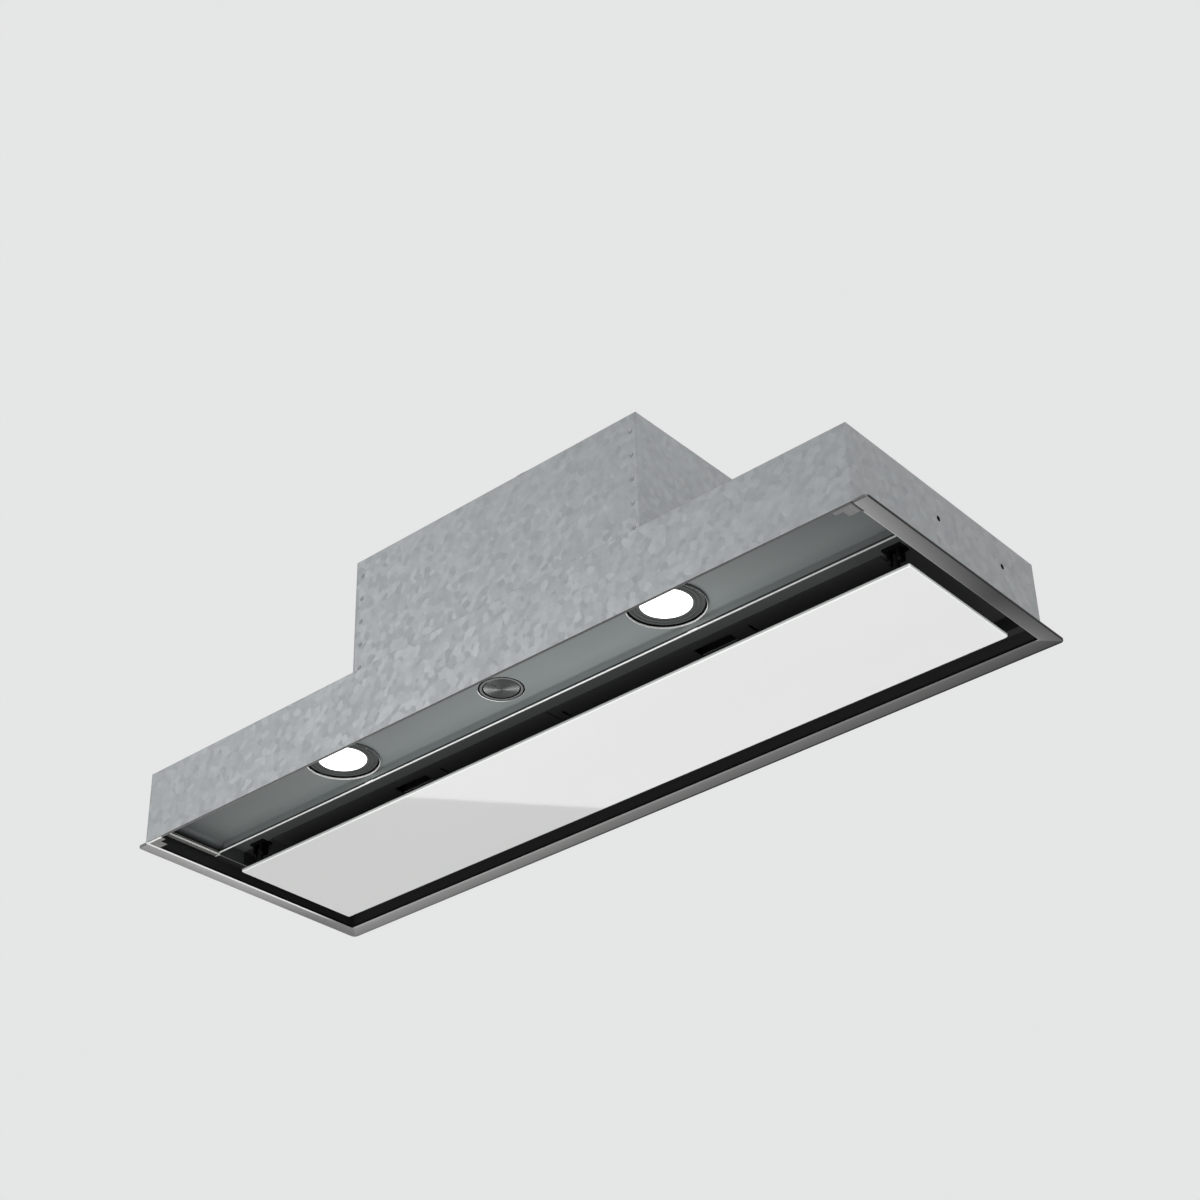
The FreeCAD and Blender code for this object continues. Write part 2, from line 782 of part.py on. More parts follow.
def screw_set(places):
    screws = []
    for place in places:
        head = Part.makeCone(screw_head_r, screw_head_r * 0.7, screw_head, place, UP)
        shank = rod(screw_r, place - UP * screw_length, UP, screw_length)
        screws.append(joined([head, shank]))
    return Part.makeCompound(screws)


def screw_holes(shape, places):
    return holed(shape, places, screw_r + screw_gap, UP, screw_length + screw_head)


# Front, top and rear in one folded sheet, with pressed stiffening beads and the blower's opening.
def make_casing_wrap():
    front_wall = box(-wall_x, wall_x, casing_front, wall_front, trim_sheet, casing_top)
    rear_wall = box(-wall_x, wall_x, wall_rear, casing_rear, trim_sheet, casing_top)
    roof = box(-wall_x, wall_x, casing_front, casing_rear, casing_height, casing_top)
    room_x = blower_half_length - foot_width
    room_y = (blower_front + foot_width, blower_rear - foot_width)
    room = box(-room_x, room_x, *room_y, casing_height, casing_top)
    bead_x0 = blower_foot_x + bead_width
    bead_x1 = wall_x - bead_end_margin
    beads = []
    for share in (0.2, 0.8):
        y = casing_front + share * (casing_rear - casing_front)
        y0 = y - bead_width / 2
        y1 = y + bead_width / 2
        bead_top = casing_top + bead_height
        bead = box(bead_x0, bead_x1, y0, y1, casing_height, bead_top)
        tops = [edge for edge in bead.Edges if edge.BoundBox.ZMin > bead_top - 0.01]
        bead = bead.makeFillet(bead_height * 0.9, tops)
        hollow = box(
            bead_x0 + casing_sheet,
            bead_x1 - casing_sheet,
            y0 + casing_sheet,
            y1 - casing_sheet,
            casing_height,
            bead_top - casing_sheet,
        )
        beads.append((bead, hollow))
    solids = [bead for bead, hollow in beads]
    solids += [mirrored(bead) for bead in solids]
    wrap = joined([front_wall, rear_wall, roof.cut(room)] + solids)
    for bead, hollow in beads:
        wrap = wrap.cut(hollow).cut(mirrored(hollow))
    return screw_holes(wrap, deck_screw_places() + foot_screw_places())


# Right end plate with a fixing flange folded under the roof and two holes for the cabinet's screws.
def make_casing_end():
    plate = box(wall_x, casing_x, casing_front, casing_rear, trim_sheet, casing_top)
    tab_low = casing_height - casing_sheet
    tab = box(wall_x - casing_tab, wall_x, casing_front + casing_sheet, wall_rear, tab_low, casing_height)
    rear_tab = box(wall_x - casing_tab, wall_x, wall_rear - casing_sheet, wall_rear, deck_top, tab_low)
    end = joined([plate, tab, rear_tab])
    end = screw_holes(end, deck_screw_places())
    spots = [fixing_centre - fixing_spacing / 2, fixing_centre + fixing_spacing / 2]
    places = [Vec(casing_x, y, fixing_height) for y in spots]
    return holed(end, places, fixing_hole_r, ALONG_X, casing_tab)


# Upright sheet between the lamp compartment and the suction chamber.
def make_partition_plate():
    y1 = tray_back + casing_sheet
    plate = box(-wall_x, wall_x, tray_back, y1, deck_top, casing_height)
    clear_x = wall_x - casing_tab
    tab_low = casing_height - casing_sheet
    notch = box(clear_x, wall_x, tray_back, y1, tab_low, casing_height)
    foot = box(-inner_x, inner_x, y1, y1 + casing_tab, deck_top, deck_top + casing_sheet)
    return joined([plate, foot]).cut(notch).cut(mirrored(notch))


# Folded box over the blower: front, roof and rear with outward feet and the outlet hole.
def make_blower_wrap():
    half = blower_half_length
    front_wall = box(-half, half, blower_front, blower_front + casing_sheet, casing_top, blower_roof)
    rear_wall = box(-half, half, blower_rear - casing_sheet, blower_rear, casing_top, blower_roof)
    roof = box(-half, half, blower_front, blower_rear, blower_top, blower_roof)
    foot_top = casing_top + casing_sheet
    front_foot = box(-half, half, blower_front - foot_width, blower_front, casing_top, foot_top)
    rear_foot = box(-half, half, blower_rear, blower_rear + foot_width, casing_top, foot_top)
    wrap = joined([front_wall, rear_wall, roof, front_foot, rear_foot])
    wrap = wrap.cut(rod(collar_bore_r, Vec(0, collar_y, blower_top), UP, casing_sheet))
    return screw_holes(wrap, collar_screw_places())


def make_blower_end():
    half = blower_half_length
    plate = box(half, blower_x, blower_front, blower_rear, casing_top, blower_roof)
    foot_top = casing_top + casing_sheet
    foot = box(blower_x, blower_foot_x, blower_front, blower_rear, casing_top, foot_top)
    return screw_holes(joined([plate, foot]), foot_screw_places())


def fan_point(across, up):
    return Vec(0, fan_y + across, fan_height + up)


def quarter(across, up, radius, from_degrees):
    points = []
    for turn in (0, 45, 90):
        angle = math.radians(from_degrees + turn)
        points.append(fan_point(across + radius * math.cos(angle), up + radius * math.sin(angle)))
    return Part.Arc(*points).toShape()


# Volute of three quarter arcs whose radius grows by one step each, ending in an upward outlet.
def scroll_wire(outlet_top):
    grow = scroll_growth
    r = scroll_r
    tongue = fan_point(0, r)
    lower_right = fan_point(scroll_right, grow)
    upper_right = fan_point(scroll_right, outlet_top - fan_height)
    upper_left = fan_point(-scroll_flare, outlet_top - fan_height)
    lower_left = fan_point(-scroll_flare, blower_top - fan_height)
    arcs = [quarter(0, 0, r, 90), quarter(grow, 0, r + grow, 180), quarter(grow, grow, r + 2 * grow, 270)]
    corners = [lower_right, upper_right, upper_left, lower_left, tongue]
    return Part.Wire(arcs + Part.makePolygon(corners).Edges)


# One half of the blower housing: volute wall, side plate and the inlet with its lip.
def make_scroll():
    room_wire = scroll_wire(blower_top + 2 * scroll_wall)
    skin_wire = room_wire.makeOffset2D(scroll_wall, 2, False)
    room = Part.Face(room_wire).extrude(Vec(scroll_x, 0, 0))
    skin = Part.Face(skin_wire).extrude(Vec(scroll_x + scroll_wall, 0, 0))
    reach = 4 * scroll_r
    above = box(-reach, reach, fan_y - reach, fan_y + reach, blower_top, blower_top + reach)
    lip = rod(inlet_r + scroll_wall, Vec(scroll_x, fan_y, fan_height), ALONG_X, scroll_wall + inlet_lip)
    inlet = rod(inlet_r, Vec(scroll_x, fan_y, fan_height), ALONG_X, scroll_wall + inlet_lip)
    return joined([skin.cut(room).cut(above), lip]).cut(inlet)


# Forward-curved blade: a thin curved strip from the root circle to the rim.
def make_blade():
    def at(radius, degrees):
        angle = math.radians(degrees)
        return Vec(-fan_half_width, radius * math.cos(angle), radius * math.sin(angle))

    middle = (fan_blade_root + fan_r) / 2
    thick = math.degrees(blade_sheet / middle)
    lead = [at(fan_blade_root, 0), at(middle, blade_sag), at(fan_r, blade_lead)]
    trail = [at(fan_r, blade_lead - thick), at(middle, blade_sag - thick), at(fan_blade_root, -thick)]
    edges = [Part.Arc(*lead).toShape(), Part.makeLine(lead[2], trail[0])]
    edges += [Part.Arc(*trail).toShape(), Part.makeLine(trail[2], lead[0])]
    return Part.Face(Part.Wire(edges)).extrude(Vec(2 * fan_half_width, 0, 0))


# Double-inlet impeller: hub disc, blades on both sides and an end ring at each inlet.
def make_impeller():
    origin = Vec(0, 0, 0)
    disc = rod((fan_blade_root + fan_r) / 2, Vec(-fan_disc / 2, 0, 0), ALONG_X, fan_disc)
    hub = rod(fan_hub_r, Vec(-fan_disc / 2, 0, 0), ALONG_X, fan_hub_length)
    ring_bore = fan_blade_root - fan_ring_lap
    rings = []
    for x in (-fan_half_width, fan_half_width - fan_ring):
        rings.append(tube(fan_r + fan_ring_lap, ring_bore, Vec(x, 0, 0), ALONG_X, fan_ring))
    blade = make_blade()
    blades = []
    for number in range(blade_count):
        turned_blade = blade.copy()
        turned_blade.rotate(origin, ALONG_X, number * 360 / blade_count)
        blades.append(turned_blade)
    wheel = disc.fuse([hub] + rings + blades)
    wheel = wheel.cut(rod(fan_shaft_r, Vec(-fan_half_width, 0, 0), ALONG_X, 2 * fan_half_width))
    wheel.translate(fan_point(0, 0))
    return wheel


def make_fan_shaft():
    start_x = -motor_end_gap - motor_bore_depth
    end_x = fan_hub_length + fan_disc
    return rod(fan_shaft_r, fan_point(0, 0) + Vec(start_x, 0, 0), ALONG_X, end_x - start_x)


# Motor can with a bearing boss towards the impeller and a bore for the shaft.
def make_motor():
    can_end = -motor_end_gap
    can = rod(motor_r, fan_point(0, 0) + Vec(can_end - motor_length, 0, 0), ALONG_X, motor_length)
    rims = [edge for edge in can.Edges if edge.Closed]
    can = can.makeFillet(motor_boss, rims)
    boss = rod(motor_boss_r, fan_point(0, 0) + Vec(can_end - motor_boss, 0, 0), ALONG_X, 2 * motor_boss)
    bore_start = fan_point(0, 0) + Vec(can_end - motor_bore_depth - motor_boss, 0, 0)
    bore = rod(fan_shaft_r + fan_shaft_gap, bore_start, ALONG_X, motor_bore_depth + 3 * motor_boss)
    return joined([can, boss]).cut(bore)


# Ring on the left inlet, three arms and a band round the motor.
def make_motor_bracket():
    face_x = -scroll_x - scroll_wall
    ring_in = inlet_r + scroll_wall
    ring_start = fan_point(0, 0) + Vec(face_x - bracket_sheet, 0, 0)
    ring = tube(ring_in + bracket_ring, ring_in, ring_start, ALONG_X, bracket_sheet)
    arm_start = face_x - inlet_lip - bracket_sheet
    arms = []
    for turn in range(3):
        arm = box(
            arm_start,
            arm_start + bracket_sheet,
            -bracket_arm / 2,
            bracket_arm / 2,
            motor_r,
            ring_in + bracket_ring,
        )
        leg = box(
            arm_start,
            face_x,
            -bracket_arm / 2,
            bracket_arm / 2,
            ring_in + bracket_sheet,
            ring_in + bracket_ring / 2,
        )
        piece = arm.fuse(leg)
        piece.rotate(Vec(0, 0, 0), ALONG_X, 120 * turn)
        piece.translate(fan_point(0, 0))
        arms.append(piece)
    band_start = fan_point(0, 0) + Vec(arm_start + bracket_sheet - bracket_band, 0, 0)
    band = rod(motor_r + bracket_sheet, band_start, ALONG_X, bracket_band)
    room = rod(motor_r, band_start, ALONG_X, bracket_band)
    return joined([ring, band] + arms).cut(room)


# Spigot for the duct, with a screw flange, a stop rib under the damper and holes for its pin.
def make_outlet_collar():
    rib_top = damper_z - damper_sheet / 2 - damper_rest_gap
    profile = [(collar_bore_r, blower_roof), (collar_flange_r, blower_roof)]
    profile += [(collar_flange_r, blower_roof + collar_flange), (collar_r, blower_roof + collar_flange)]
    profile += [(collar_r, blower_roof + collar_height), (collar_bore_r, blower_roof + collar_height)]
    rib_r = collar_bore_r - damper_rib
    profile += [(collar_bore_r, rib_top), (rib_r, rib_top), (rib_r, rib_top - damper_rib / 2)]
    profile += [(collar_bore_r, rib_top - 3 * damper_rib / 2)]
    collar = turned(profile, 0, collar_y)
    room = damper_knuckle_r + damper_gap
    gap = box(-room, room, collar_y - collar_bore_r, collar_y + collar_bore_r, blower_roof, rib_top)
    bore = rod(collar_bore_r, Vec(0, collar_y, blower_roof), UP, collar_height)
    collar = collar.cut(gap.common(bore))
    collar = collar.cut(make_damper_pin())
    return screw_holes(collar, collar_screw_places())


def make_damper_pin():
    return rod(damper_pin_r, Vec(0, collar_y - collar_r, damper_z), ALONG_Y, 2 * collar_r)


# Half-round flap with two knuckles on the pin; the other flap's knuckles lie between them.
def make_damper_flap(side):
    reach = collar_bore_r - damper_gap
    disc = rod(reach, Vec(0, collar_y, damper_z - damper_sheet / 2), UP, damper_sheet)
    x0, x1 = (damper_edge, reach) if side > 0 else (-reach, -damper_edge)
    half_room = box(x0, x1, collar_y - reach, collar_y + reach, damper_z - reach, damper_z + reach)
    pieces = [disc.common(half_room)]
    bores = []
    for step in (-1, 1):
        y0 = collar_y + step * damper_knuckle * 1.1 - damper_knuckle / 2
        y0 += side * damper_knuckle * 0.55
        start = Vec(0, y0, damper_z)
        pieces.append(rod(damper_knuckle_r, start, ALONG_Y, damper_knuckle))
        arm_x = sorted((0, side * (damper_edge + damper_sheet)))
        half = damper_sheet / 2
        pieces.append(box(arm_x[0], arm_x[1], y0, y0 + damper_knuckle, damper_z - half, damper_z + half))
        bores.append(rod(damper_pin_r + damper_pin_gap, start, ALONG_Y, damper_knuckle))
    flap = joined(pieces)
    for bore in bores:
        flap = flap.cut(bore)
    return flap


def terminal_walls(inset):
    x0 = terminal_x - terminal_length / 2 + inset
    x1 = terminal_x + terminal_length / 2 - inset
    y0 = terminal_y - terminal_width / 2 + inset
    y1 = terminal_y + terminal_width / 2 - inset
    return x0, x1, y0, y1


def gland_place():
    return Vec(terminal_x + terminal_length / 2, terminal_y, casing_top + terminal_height / 2)


def make_terminal_box():
    shell = rounded_plate(*terminal_walls(0), casing_top, terminal_top, terminal_wall)
    shell = shell.cut(box(*terminal_walls(terminal_wall), casing_top + terminal_wall, terminal_top))
    hole = rod(gland_r, gland_place() - ALONG_X * terminal_wall, ALONG_X, terminal_wall)
    return shell.cut(hole)


def make_terminal_lid():
    plate = rounded_plate(*terminal_walls(0), terminal_top, terminal_top + terminal_lid, terminal_wall)
    lip = box(*terminal_walls(terminal_wall), terminal_top - terminal_lid_lip, terminal_top)
    hollow = box(*terminal_walls(2 * terminal_wall), terminal_top - terminal_lid_lip, terminal_top)
    return joined([plate, lip.cut(hollow)])


# Bored gland body through the box wall, with a six-sided nut outside.
def make_cable_gland():
    start = gland_place() - ALONG_X * terminal_wall
    body = rod(gland_r, start, ALONG_X, terminal_wall + gland_length)
    corners = []
    for turn in range(6):
        angle = math.radians(60 * turn)
        y = gland_place().y + gland_nut * math.cos(angle)
        z = gland_place().z + gland_nut * math.sin(angle)
        corners.append((y, z))
    nut = swept_along_x(corners, gland_place().x, gland_place().x + gland_nut_length)
    bore = rod(gland_bore_r, start, ALONG_X, terminal_wall + gland_length)
    return joined([body, nut]).cut(bore)


def build():
    right_handed = {
        "lamp_bezel": make_lamp_bezel(),
        "lamp_lens": make_lamp_lens(),
        "led_module": make_led_module(),
        "hinge_bracket": make_hinge_bracket(),
        "hinge_pin": make_hinge_pin(),
        "catch": make_catch(),
        "panel_strike": make_panel_strike(),
        "filter_frame": make_filter_frame(),
        "filter_mesh": make_filter_mesh(),
        "filter_latch": make_filter_latch(),
        "casing_end": make_casing_end(),
        "blower_end": make_blower_end(),
        "scroll": make_scroll(),
    }
    shapes = {
        "trim_frame": make_trim_frame(),
        "suction_frame": make_suction_frame(),
        "lamp_panel": make_lamp_panel(),
        "knob_bezel": make_knob_bezel(),
        "control_knob": make_control_knob(),
        "knob_shaft": make_knob_shaft(),
        "encoder_rotor": make_encoder_rotor(),
        "encoder_body": make_encoder_body(),
        "control_board": make_control_board(),
        "control_housing": make_control_housing(),
        "led_driver": make_led_driver(),
        "glass_panel": make_glass_panel(),
        "panel_carrier": make_panel_carrier(),
        "casing_wrap": make_casing_wrap(),
        "partition_plate": make_partition_plate(),
        "blower_wrap": make_blower_wrap(),
        "impeller": make_impeller(),
        "fan_shaft": make_fan_shaft(),
        "motor": make_motor(),
        "motor_bracket": make_motor_bracket(),
        "outlet_collar": make_outlet_collar(),
        "damper_pin": make_damper_pin(),
        "damper_flap_left": make_damper_flap(-1),
        "damper_flap_right": make_damper_flap(1),
        "terminal_box": make_terminal_box(),
        "terminal_lid": make_terminal_lid(),
        "cable_gland": make_cable_gland(),
        "casing_screws": screw_set(deck_screw_places()),
        "blower_screws": screw_set(foot_screw_places()),
        "collar_screws": screw_set(collar_screw_places()),
    }
    for name, shape in right_handed.items():
        shapes[name + "_right"] = shape
        shapes[name + "_left"] = mirrored(shape)
    for name, slot_x in (("filter_frame_left", -slot_offset), ("filter_frame_right", slot_offset)):
        shapes[name] = shapes[name].cut(relief_slit(slot_x + relief_offset))
    right = shapes["filter_frame_right"]
    shapes["filter_frame_right"] = right.cut(relief_slit(filter_inner + relief_inset))
    return shapes


def main():
    os.makedirs("parts", exist_ok=True)
    for name, shape in sorted(build().items()):
        shape.exportStep("parts/" + name + ".step")
        print(name, len(shape.Solids), "valid" if shape.isValid() else "invalid", round(shape.Volume, 1))


main()
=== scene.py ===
import json
import math

import bpy
from mathutils import Matrix, Vector


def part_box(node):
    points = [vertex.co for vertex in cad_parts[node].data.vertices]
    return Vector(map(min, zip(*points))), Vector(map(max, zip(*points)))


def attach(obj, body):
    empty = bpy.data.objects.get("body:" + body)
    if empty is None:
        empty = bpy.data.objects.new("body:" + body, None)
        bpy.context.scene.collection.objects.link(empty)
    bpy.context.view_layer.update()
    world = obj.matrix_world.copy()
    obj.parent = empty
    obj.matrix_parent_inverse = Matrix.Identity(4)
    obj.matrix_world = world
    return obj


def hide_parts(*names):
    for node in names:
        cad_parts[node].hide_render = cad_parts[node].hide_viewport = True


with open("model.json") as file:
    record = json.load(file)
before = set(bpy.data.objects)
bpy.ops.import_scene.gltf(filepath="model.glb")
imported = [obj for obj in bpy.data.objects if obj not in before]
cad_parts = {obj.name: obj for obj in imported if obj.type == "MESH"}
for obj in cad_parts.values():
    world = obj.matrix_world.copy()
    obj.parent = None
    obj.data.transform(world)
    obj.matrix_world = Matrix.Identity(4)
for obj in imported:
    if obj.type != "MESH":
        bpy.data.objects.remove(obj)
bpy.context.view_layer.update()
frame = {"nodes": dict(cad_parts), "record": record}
cadNodes = frame["nodes"]
mm = 0.001
print("frame loaded,", len(cadNodes), "nodes")


# Camera, at the photograph's place: below the hood, to the front right
cameraSetup = {
    "place": (1.2115, -1.3917, -1.0246),
    "yaw": 40.015,
    "pitch": 32.914,
    "roll": -1.684,
    "lens": 66.895,
    "sensor": 36.0,
    "farClip": 50.0,
}


def makeCamera(setup):
    data = bpy.data.cameras.new("camera")
    data.sensor_width = setup["sensor"]
    data.lens = setup["lens"]
    data.clip_end = setup["farClip"]
    camera = bpy.data.objects.new("camera", data)
    bpy.context.scene.collection.objects.link(camera)
    yaw = Matrix.Rotation(math.radians(setup["yaw"]), 3, "Z")
    pitch = Matrix.Rotation(math.radians(90 + setup["pitch"]), 3, "X")
    roll = Matrix.Rotation(math.radians(setup["roll"]), 3, "Z")
    camera.location = setup["place"]
    camera.rotation_euler = (yaw @ pitch @ roll).to_euler()
    bpy.context.scene.camera = camera


makeCamera(cameraSetup)
print("camera set")


# Pale floor far below the hood, soft lamps and an even pale world
stageSetup = {
    "floorSize": 16.0,
    "floorHeight": -2.2,
    "floorColour": (0.78, 0.78, 0.77),
    "floorRoughness": 0.8,
    "worldColour": (0.80, 0.805, 0.805),
    "worldStrength": 0.62,
    "backgroundStrength": 0.98,
}
lampSetup = [
    {"name": "lowFill", "place": (-0.6, -1.2, -2.0), "aim": (0, 0, 0), "size": (2.4, 2.4), "watts": 22},
    {"name": "frontKey", "place": (-1.6, -2.2, 1.0), "aim": (0, 0, 0.1), "size": (1.6, 1.6), "watts": 8},
    {"name": "rightFill", "place": (2.6, -0.6, 0.6), "aim": (0, 0, 0.1), "size": (1.4, 1.4), "watts": 6},
    {"name": "topSoft", "place": (0.4, 0.9, 2.6), "aim": (0, 0, 0.2), "size": (2.0, 2.0), "watts": 20},
]
# Small soft cards, each for a few pieces: they grade the tone the way the photograph shows
cardSetup = [
    {"name": "trayCard", "place": (0.05, -0.17, -0.42), "aim": (0.05, -0.10, 0.03), "size": (0.25, 0.25),
     "watts": 1.15, "only": ["lamp_panel", "knob_bezel", "lamp_bezel_left", "lamp_bezel_right"]},
    {"name": "hemCard", "place": (-0.2, -1.5, -0.42), "aim": (0, -0.065, 0.018), "size": (1.2, 0.3),
     "watts": 3.6, "only": ["lamp_panel"]},
    {"name": "glassCard", "place": (1.5, -1.6, -1.2), "aim": (0, 0.03, 0), "size": (0.8, 0.8),
     "watts": 19.0, "only": ["glass_panel"]},
    {"name": "glassFrontCard", "place": (-0.2, -2.5, -0.16), "aim": (0, -0.04, 0), "size": (1.6, 0.16),
     "watts": 12.0, "only": ["glass_panel"]},
    {"name": "glassRightCard", "place": (2.5, -0.2, -0.02), "aim": (0.416, 0.03, 0), "size": (0.3, 0.3),
     "watts": 18.0, "only": ["glass_panel"], "blockers": ["glass_panel"]},
    {"name": "deckCard", "place": (0.3, -0.9, -1.6), "aim": (0, -0.03, 0.03), "size": (0.6, 0.6),
     "watts": 4.0, "only": ["suction_frame", "filter_frame_left", "filter_frame_right"],
     "blockers": ["filter_frame_left", "filter_frame_right"]},
    {"name": "ledgeCard", "place": (0.50, 0.10, -0.18), "aim": (0.412, 0.04, 0.015), "size": (0.08, 0.08),
     "watts": 0.18, "only": ["suction_frame"], "blockers": ["suction_frame"]},
    {"name": "lipCard", "place": (2.0, -1.2, -0.5), "aim": (-0.43, 0, 0), "size": (0.5, 0.5),
     "watts": 70.0, "only": ["trim_frame"], "blockers": ["trim_frame"]},
    {"name": "leftSteelCard", "place": (-2.9, 1.9, -1.5), "aim": (-0.45, 0, 0), "size": (1.2, 1.2),
     "watts": 4.5, "only": ["trim_frame"]},
    {"name": "frontSteelCard", "place": (-0.62, 1.45, -1.5), "aim": (0.45, -0.15, 0), "size": (0.5, 0.4),
     "watts": 0.7, "only": ["trim_frame"]},
    {"name": "knobEdgeCard", "place": (-0.55, -0.61, -0.58), "aim": (0, -0.094, 0.026), "size": (0.1, 0.1),
     "watts": 0.8, "only": ["control_knob"], "blockers": ["control_knob"]},
    {"name": "knobRightCard", "place": (-0.18, 0.66, -0.22), "aim": (0, -0.094, 0.026), "size": (0.2, 0.2),
     "watts": 2.6, "only": ["control_knob"], "blockers": ["control_knob"]},
    {"name": "knobLeftCard", "place": (-0.74, 0.27, -0.22), "aim": (0, -0.094, 0.026), "size": (0.2, 0.2),
     "watts": 1.6, "only": ["control_knob"], "blockers": ["control_knob"]},
]
# Upward panel whose straight left edge shows as a faint diagonal in the white glass
reflectorSetup = {
    "name": "glassReflector",
    "corner": (-2.348, 2.060),
    "direction": 50.5,
    "height": -1.6,
    "startBefore": 0.2,
    "size": (1.7, 1.45),
    "watts": 14,
    "only": ["glass_panel"],
}


def deselectAll():
    bpy.ops.object.select_all(action="DESELECT")


def makeWorld(setup):
    world = bpy.data.worlds.new("paleWorld")
    world.use_nodes = True
    bpy.context.scene.world = world
    tree = world.node_tree
    light = tree.nodes["Background"]
    seen = tree.nodes.new("ShaderNodeBackground")
    for node, strength in ((light, setup["worldStrength"]), (seen, setup["backgroundStrength"])):
        node.inputs["Color"].default_value = (*setup["worldColour"], 1)
        node.inputs["Strength"].default_value = strength
    path = tree.nodes.new("ShaderNodeLightPath")
    direct = path.outputs["Is Camera Ray"]
    for kind in ("Is Glossy Ray", "Is Transmission Ray"):
        either = tree.nodes.new("ShaderNodeMath")
        either.operation = "MAXIMUM"
        tree.links.new(direct, either.inputs[0])
        tree.links.new(path.outputs[kind], either.inputs[1])
        direct = either.outputs[0]
    mix = tree.nodes.new("ShaderNodeMixShader")
    tree.links.new(direct, mix.inputs["Fac"])
    tree.links.new(light.outputs[0], mix.inputs[1])
    tree.links.new(seen.outputs[0], mix.inputs[2])
    tree.links.new(mix.outputs[0], tree.nodes["World Output"].inputs["Surface"])


def makeFloor(setup):
    deselectAll()
    bpy.ops.mesh.primitive_plane_add(size=setup["floorSize"], location=(0, 0, setup["floorHeight"]))
    floor = bpy.context.object
    floor.name = "floor"
    material = bpy.data.materials.new("floorPaint")
    material.use_nodes = True
    shader = material.node_tree.nodes["Principled BSDF"]
    shader.inputs["Base Color"].default_value = (*setup["floorColour"], 1)
    shader.inputs["Roughness"].default_value = setup["floorRoughness"]
    floor.data.materials.append(material)


def gatherNodes(name, nodes):
    group = bpy.data.collections.new(name)
    for node in nodes:
        group.objects.link(cadNodes[node])
    return group


def addAreaLamp(setup, place, rotation):
    data = bpy.data.lights.new(setup["name"], "AREA")
    data.shape = "RECTANGLE"
    data.size, data.size_y = setup["size"]
    data.energy = setup["watts"]
    lamp = bpy.data.objects.new(setup["name"], data)
    lamp.location = place
    lamp.rotation_euler = rotation
    lamp.visible_camera = False
    bpy.context.scene.collection.objects.link(lamp)
    if "only" in setup:
        lamp.light_linking.receiver_collection = gatherNodes(setup["name"] + "Lit", setup["only"])
    if "blockers" in setup:
        lamp.light_linking.blocker_collection = gatherNodes(setup["name"] + "Blockers", setup["blockers"])


def makeLamps(setups):
    for setup in setups:
        towards = Vector(setup["aim"]) - Vector(setup["place"])
        addAreaLamp(setup, setup["place"], towards.to_track_quat("-Z", "Y").to_euler())


def makeReflector(setup):
    angle = math.radians(setup["direction"])
    along = Vector((math.cos(angle), math.sin(angle), 0))
    across = Vector((math.sin(angle), -math.cos(angle), 0))
    length, width = setup["size"]
    corner = Vector((*setup["corner"], setup["height"]))
    middle = corner + along * (length / 2 - setup["startBefore"]) + across * width / 2
    addAreaLamp(setup, middle, (math.pi, 0, angle))


bpy.context.scene.view_settings.view_transform = "Standard"
makeWorld(stageSetup)
makeFloor(stageSetup)
makeLamps(lampSetup + cardSetup)
makeReflector(reflectorSetup)
print("stage lit")


# Small helpers that the finishes share. A roughness that a grain drives later keeps the default here.
def startFinish(name, colour, roughness=0.4, metallic=0.0):
    material = bpy.data.materials.new(name)
    material.use_nodes = True
    tree = material.node_tree
    shader = tree.nodes["Principled BSDF"]
    shader.inputs["Base Color"].default_value = (*colour, 1)
    shader.inputs["Roughness"].default_value = roughness
    shader.inputs["Metallic"].default_value = metallic
    return material, tree, shader


def addMath(tree, operation, first, deepShade=None, third=None):
    node = tree.nodes.new("ShaderNodeMath")
    node.operation = operation
    for socket, value in zip(node.inputs, (first, deepShade, third)):
        if value is None:
            continue
        if isinstance(value, (int, float)):
            socket.default_value = value
        else:
            tree.links.new(value, socket)
    return node.outputs[0]


# Masks, 1 where they hold and 0 elsewhere
def isBelow(tree, value, limit):
    return addMath(tree, "LESS_THAN", value, limit)


def isAbove(tree, value, limit):
    return addMath(tree, "GREATER_THAN", value, limit)


def isNear(tree, value, place, reach):
    return addMath(tree, "COMPARE", value, place, reach)


def allOf(tree, first, *others):
    for other in others:
        first = addMath(tree, "MULTIPLY", first, other)
    return first


def anyOf(tree, first, *others):
    for other in others:
        first = addMath(tree, "MAXIMUM", first, other)
    return first


# Value that goes from low to high as another goes between two places
def addRange(tree, value, low, high, fromLow=0.3, fromHigh=0.7):
    node = tree.nodes.new("ShaderNodeMapRange")
    node.inputs["From Min"].default_value = fromLow
    node.inputs["From Max"].default_value = fromHigh
    node.inputs["To Min"].default_value = low
    node.inputs["To Max"].default_value = high
    tree.links.new(value, node.inputs["Value"])
    return node.outputs["Result"]


# Sine of a length, one wave for each pitch
def addWave(tree, value, pitch):
    return addMath(tree, "SINE", addMath(tree, "MULTIPLY", value, 2 * math.pi / pitch))


def addMix(tree, factor, first, deepShade):
    node = tree.nodes.new("ShaderNodeMix")
    node.data_type = "RGBA"
    tree.links.new(factor, node.inputs["Factor"])
    for socket, value in ((node.inputs[6], first), (node.inputs[7], deepShade)):
        if isinstance(value, tuple):
            socket.default_value = (*value, 1)
        else:
            tree.links.new(value, socket)
    return node.outputs[2]


def pickValue(tree, factor, first, deepShade):
    node = tree.nodes.new("ShaderNodeMix")
    tree.links.new(factor, node.inputs["Factor"])
    tree.links.new(first, node.inputs[2])
    tree.links.new(deepShade, node.inputs[3])
    return node.outputs[0]


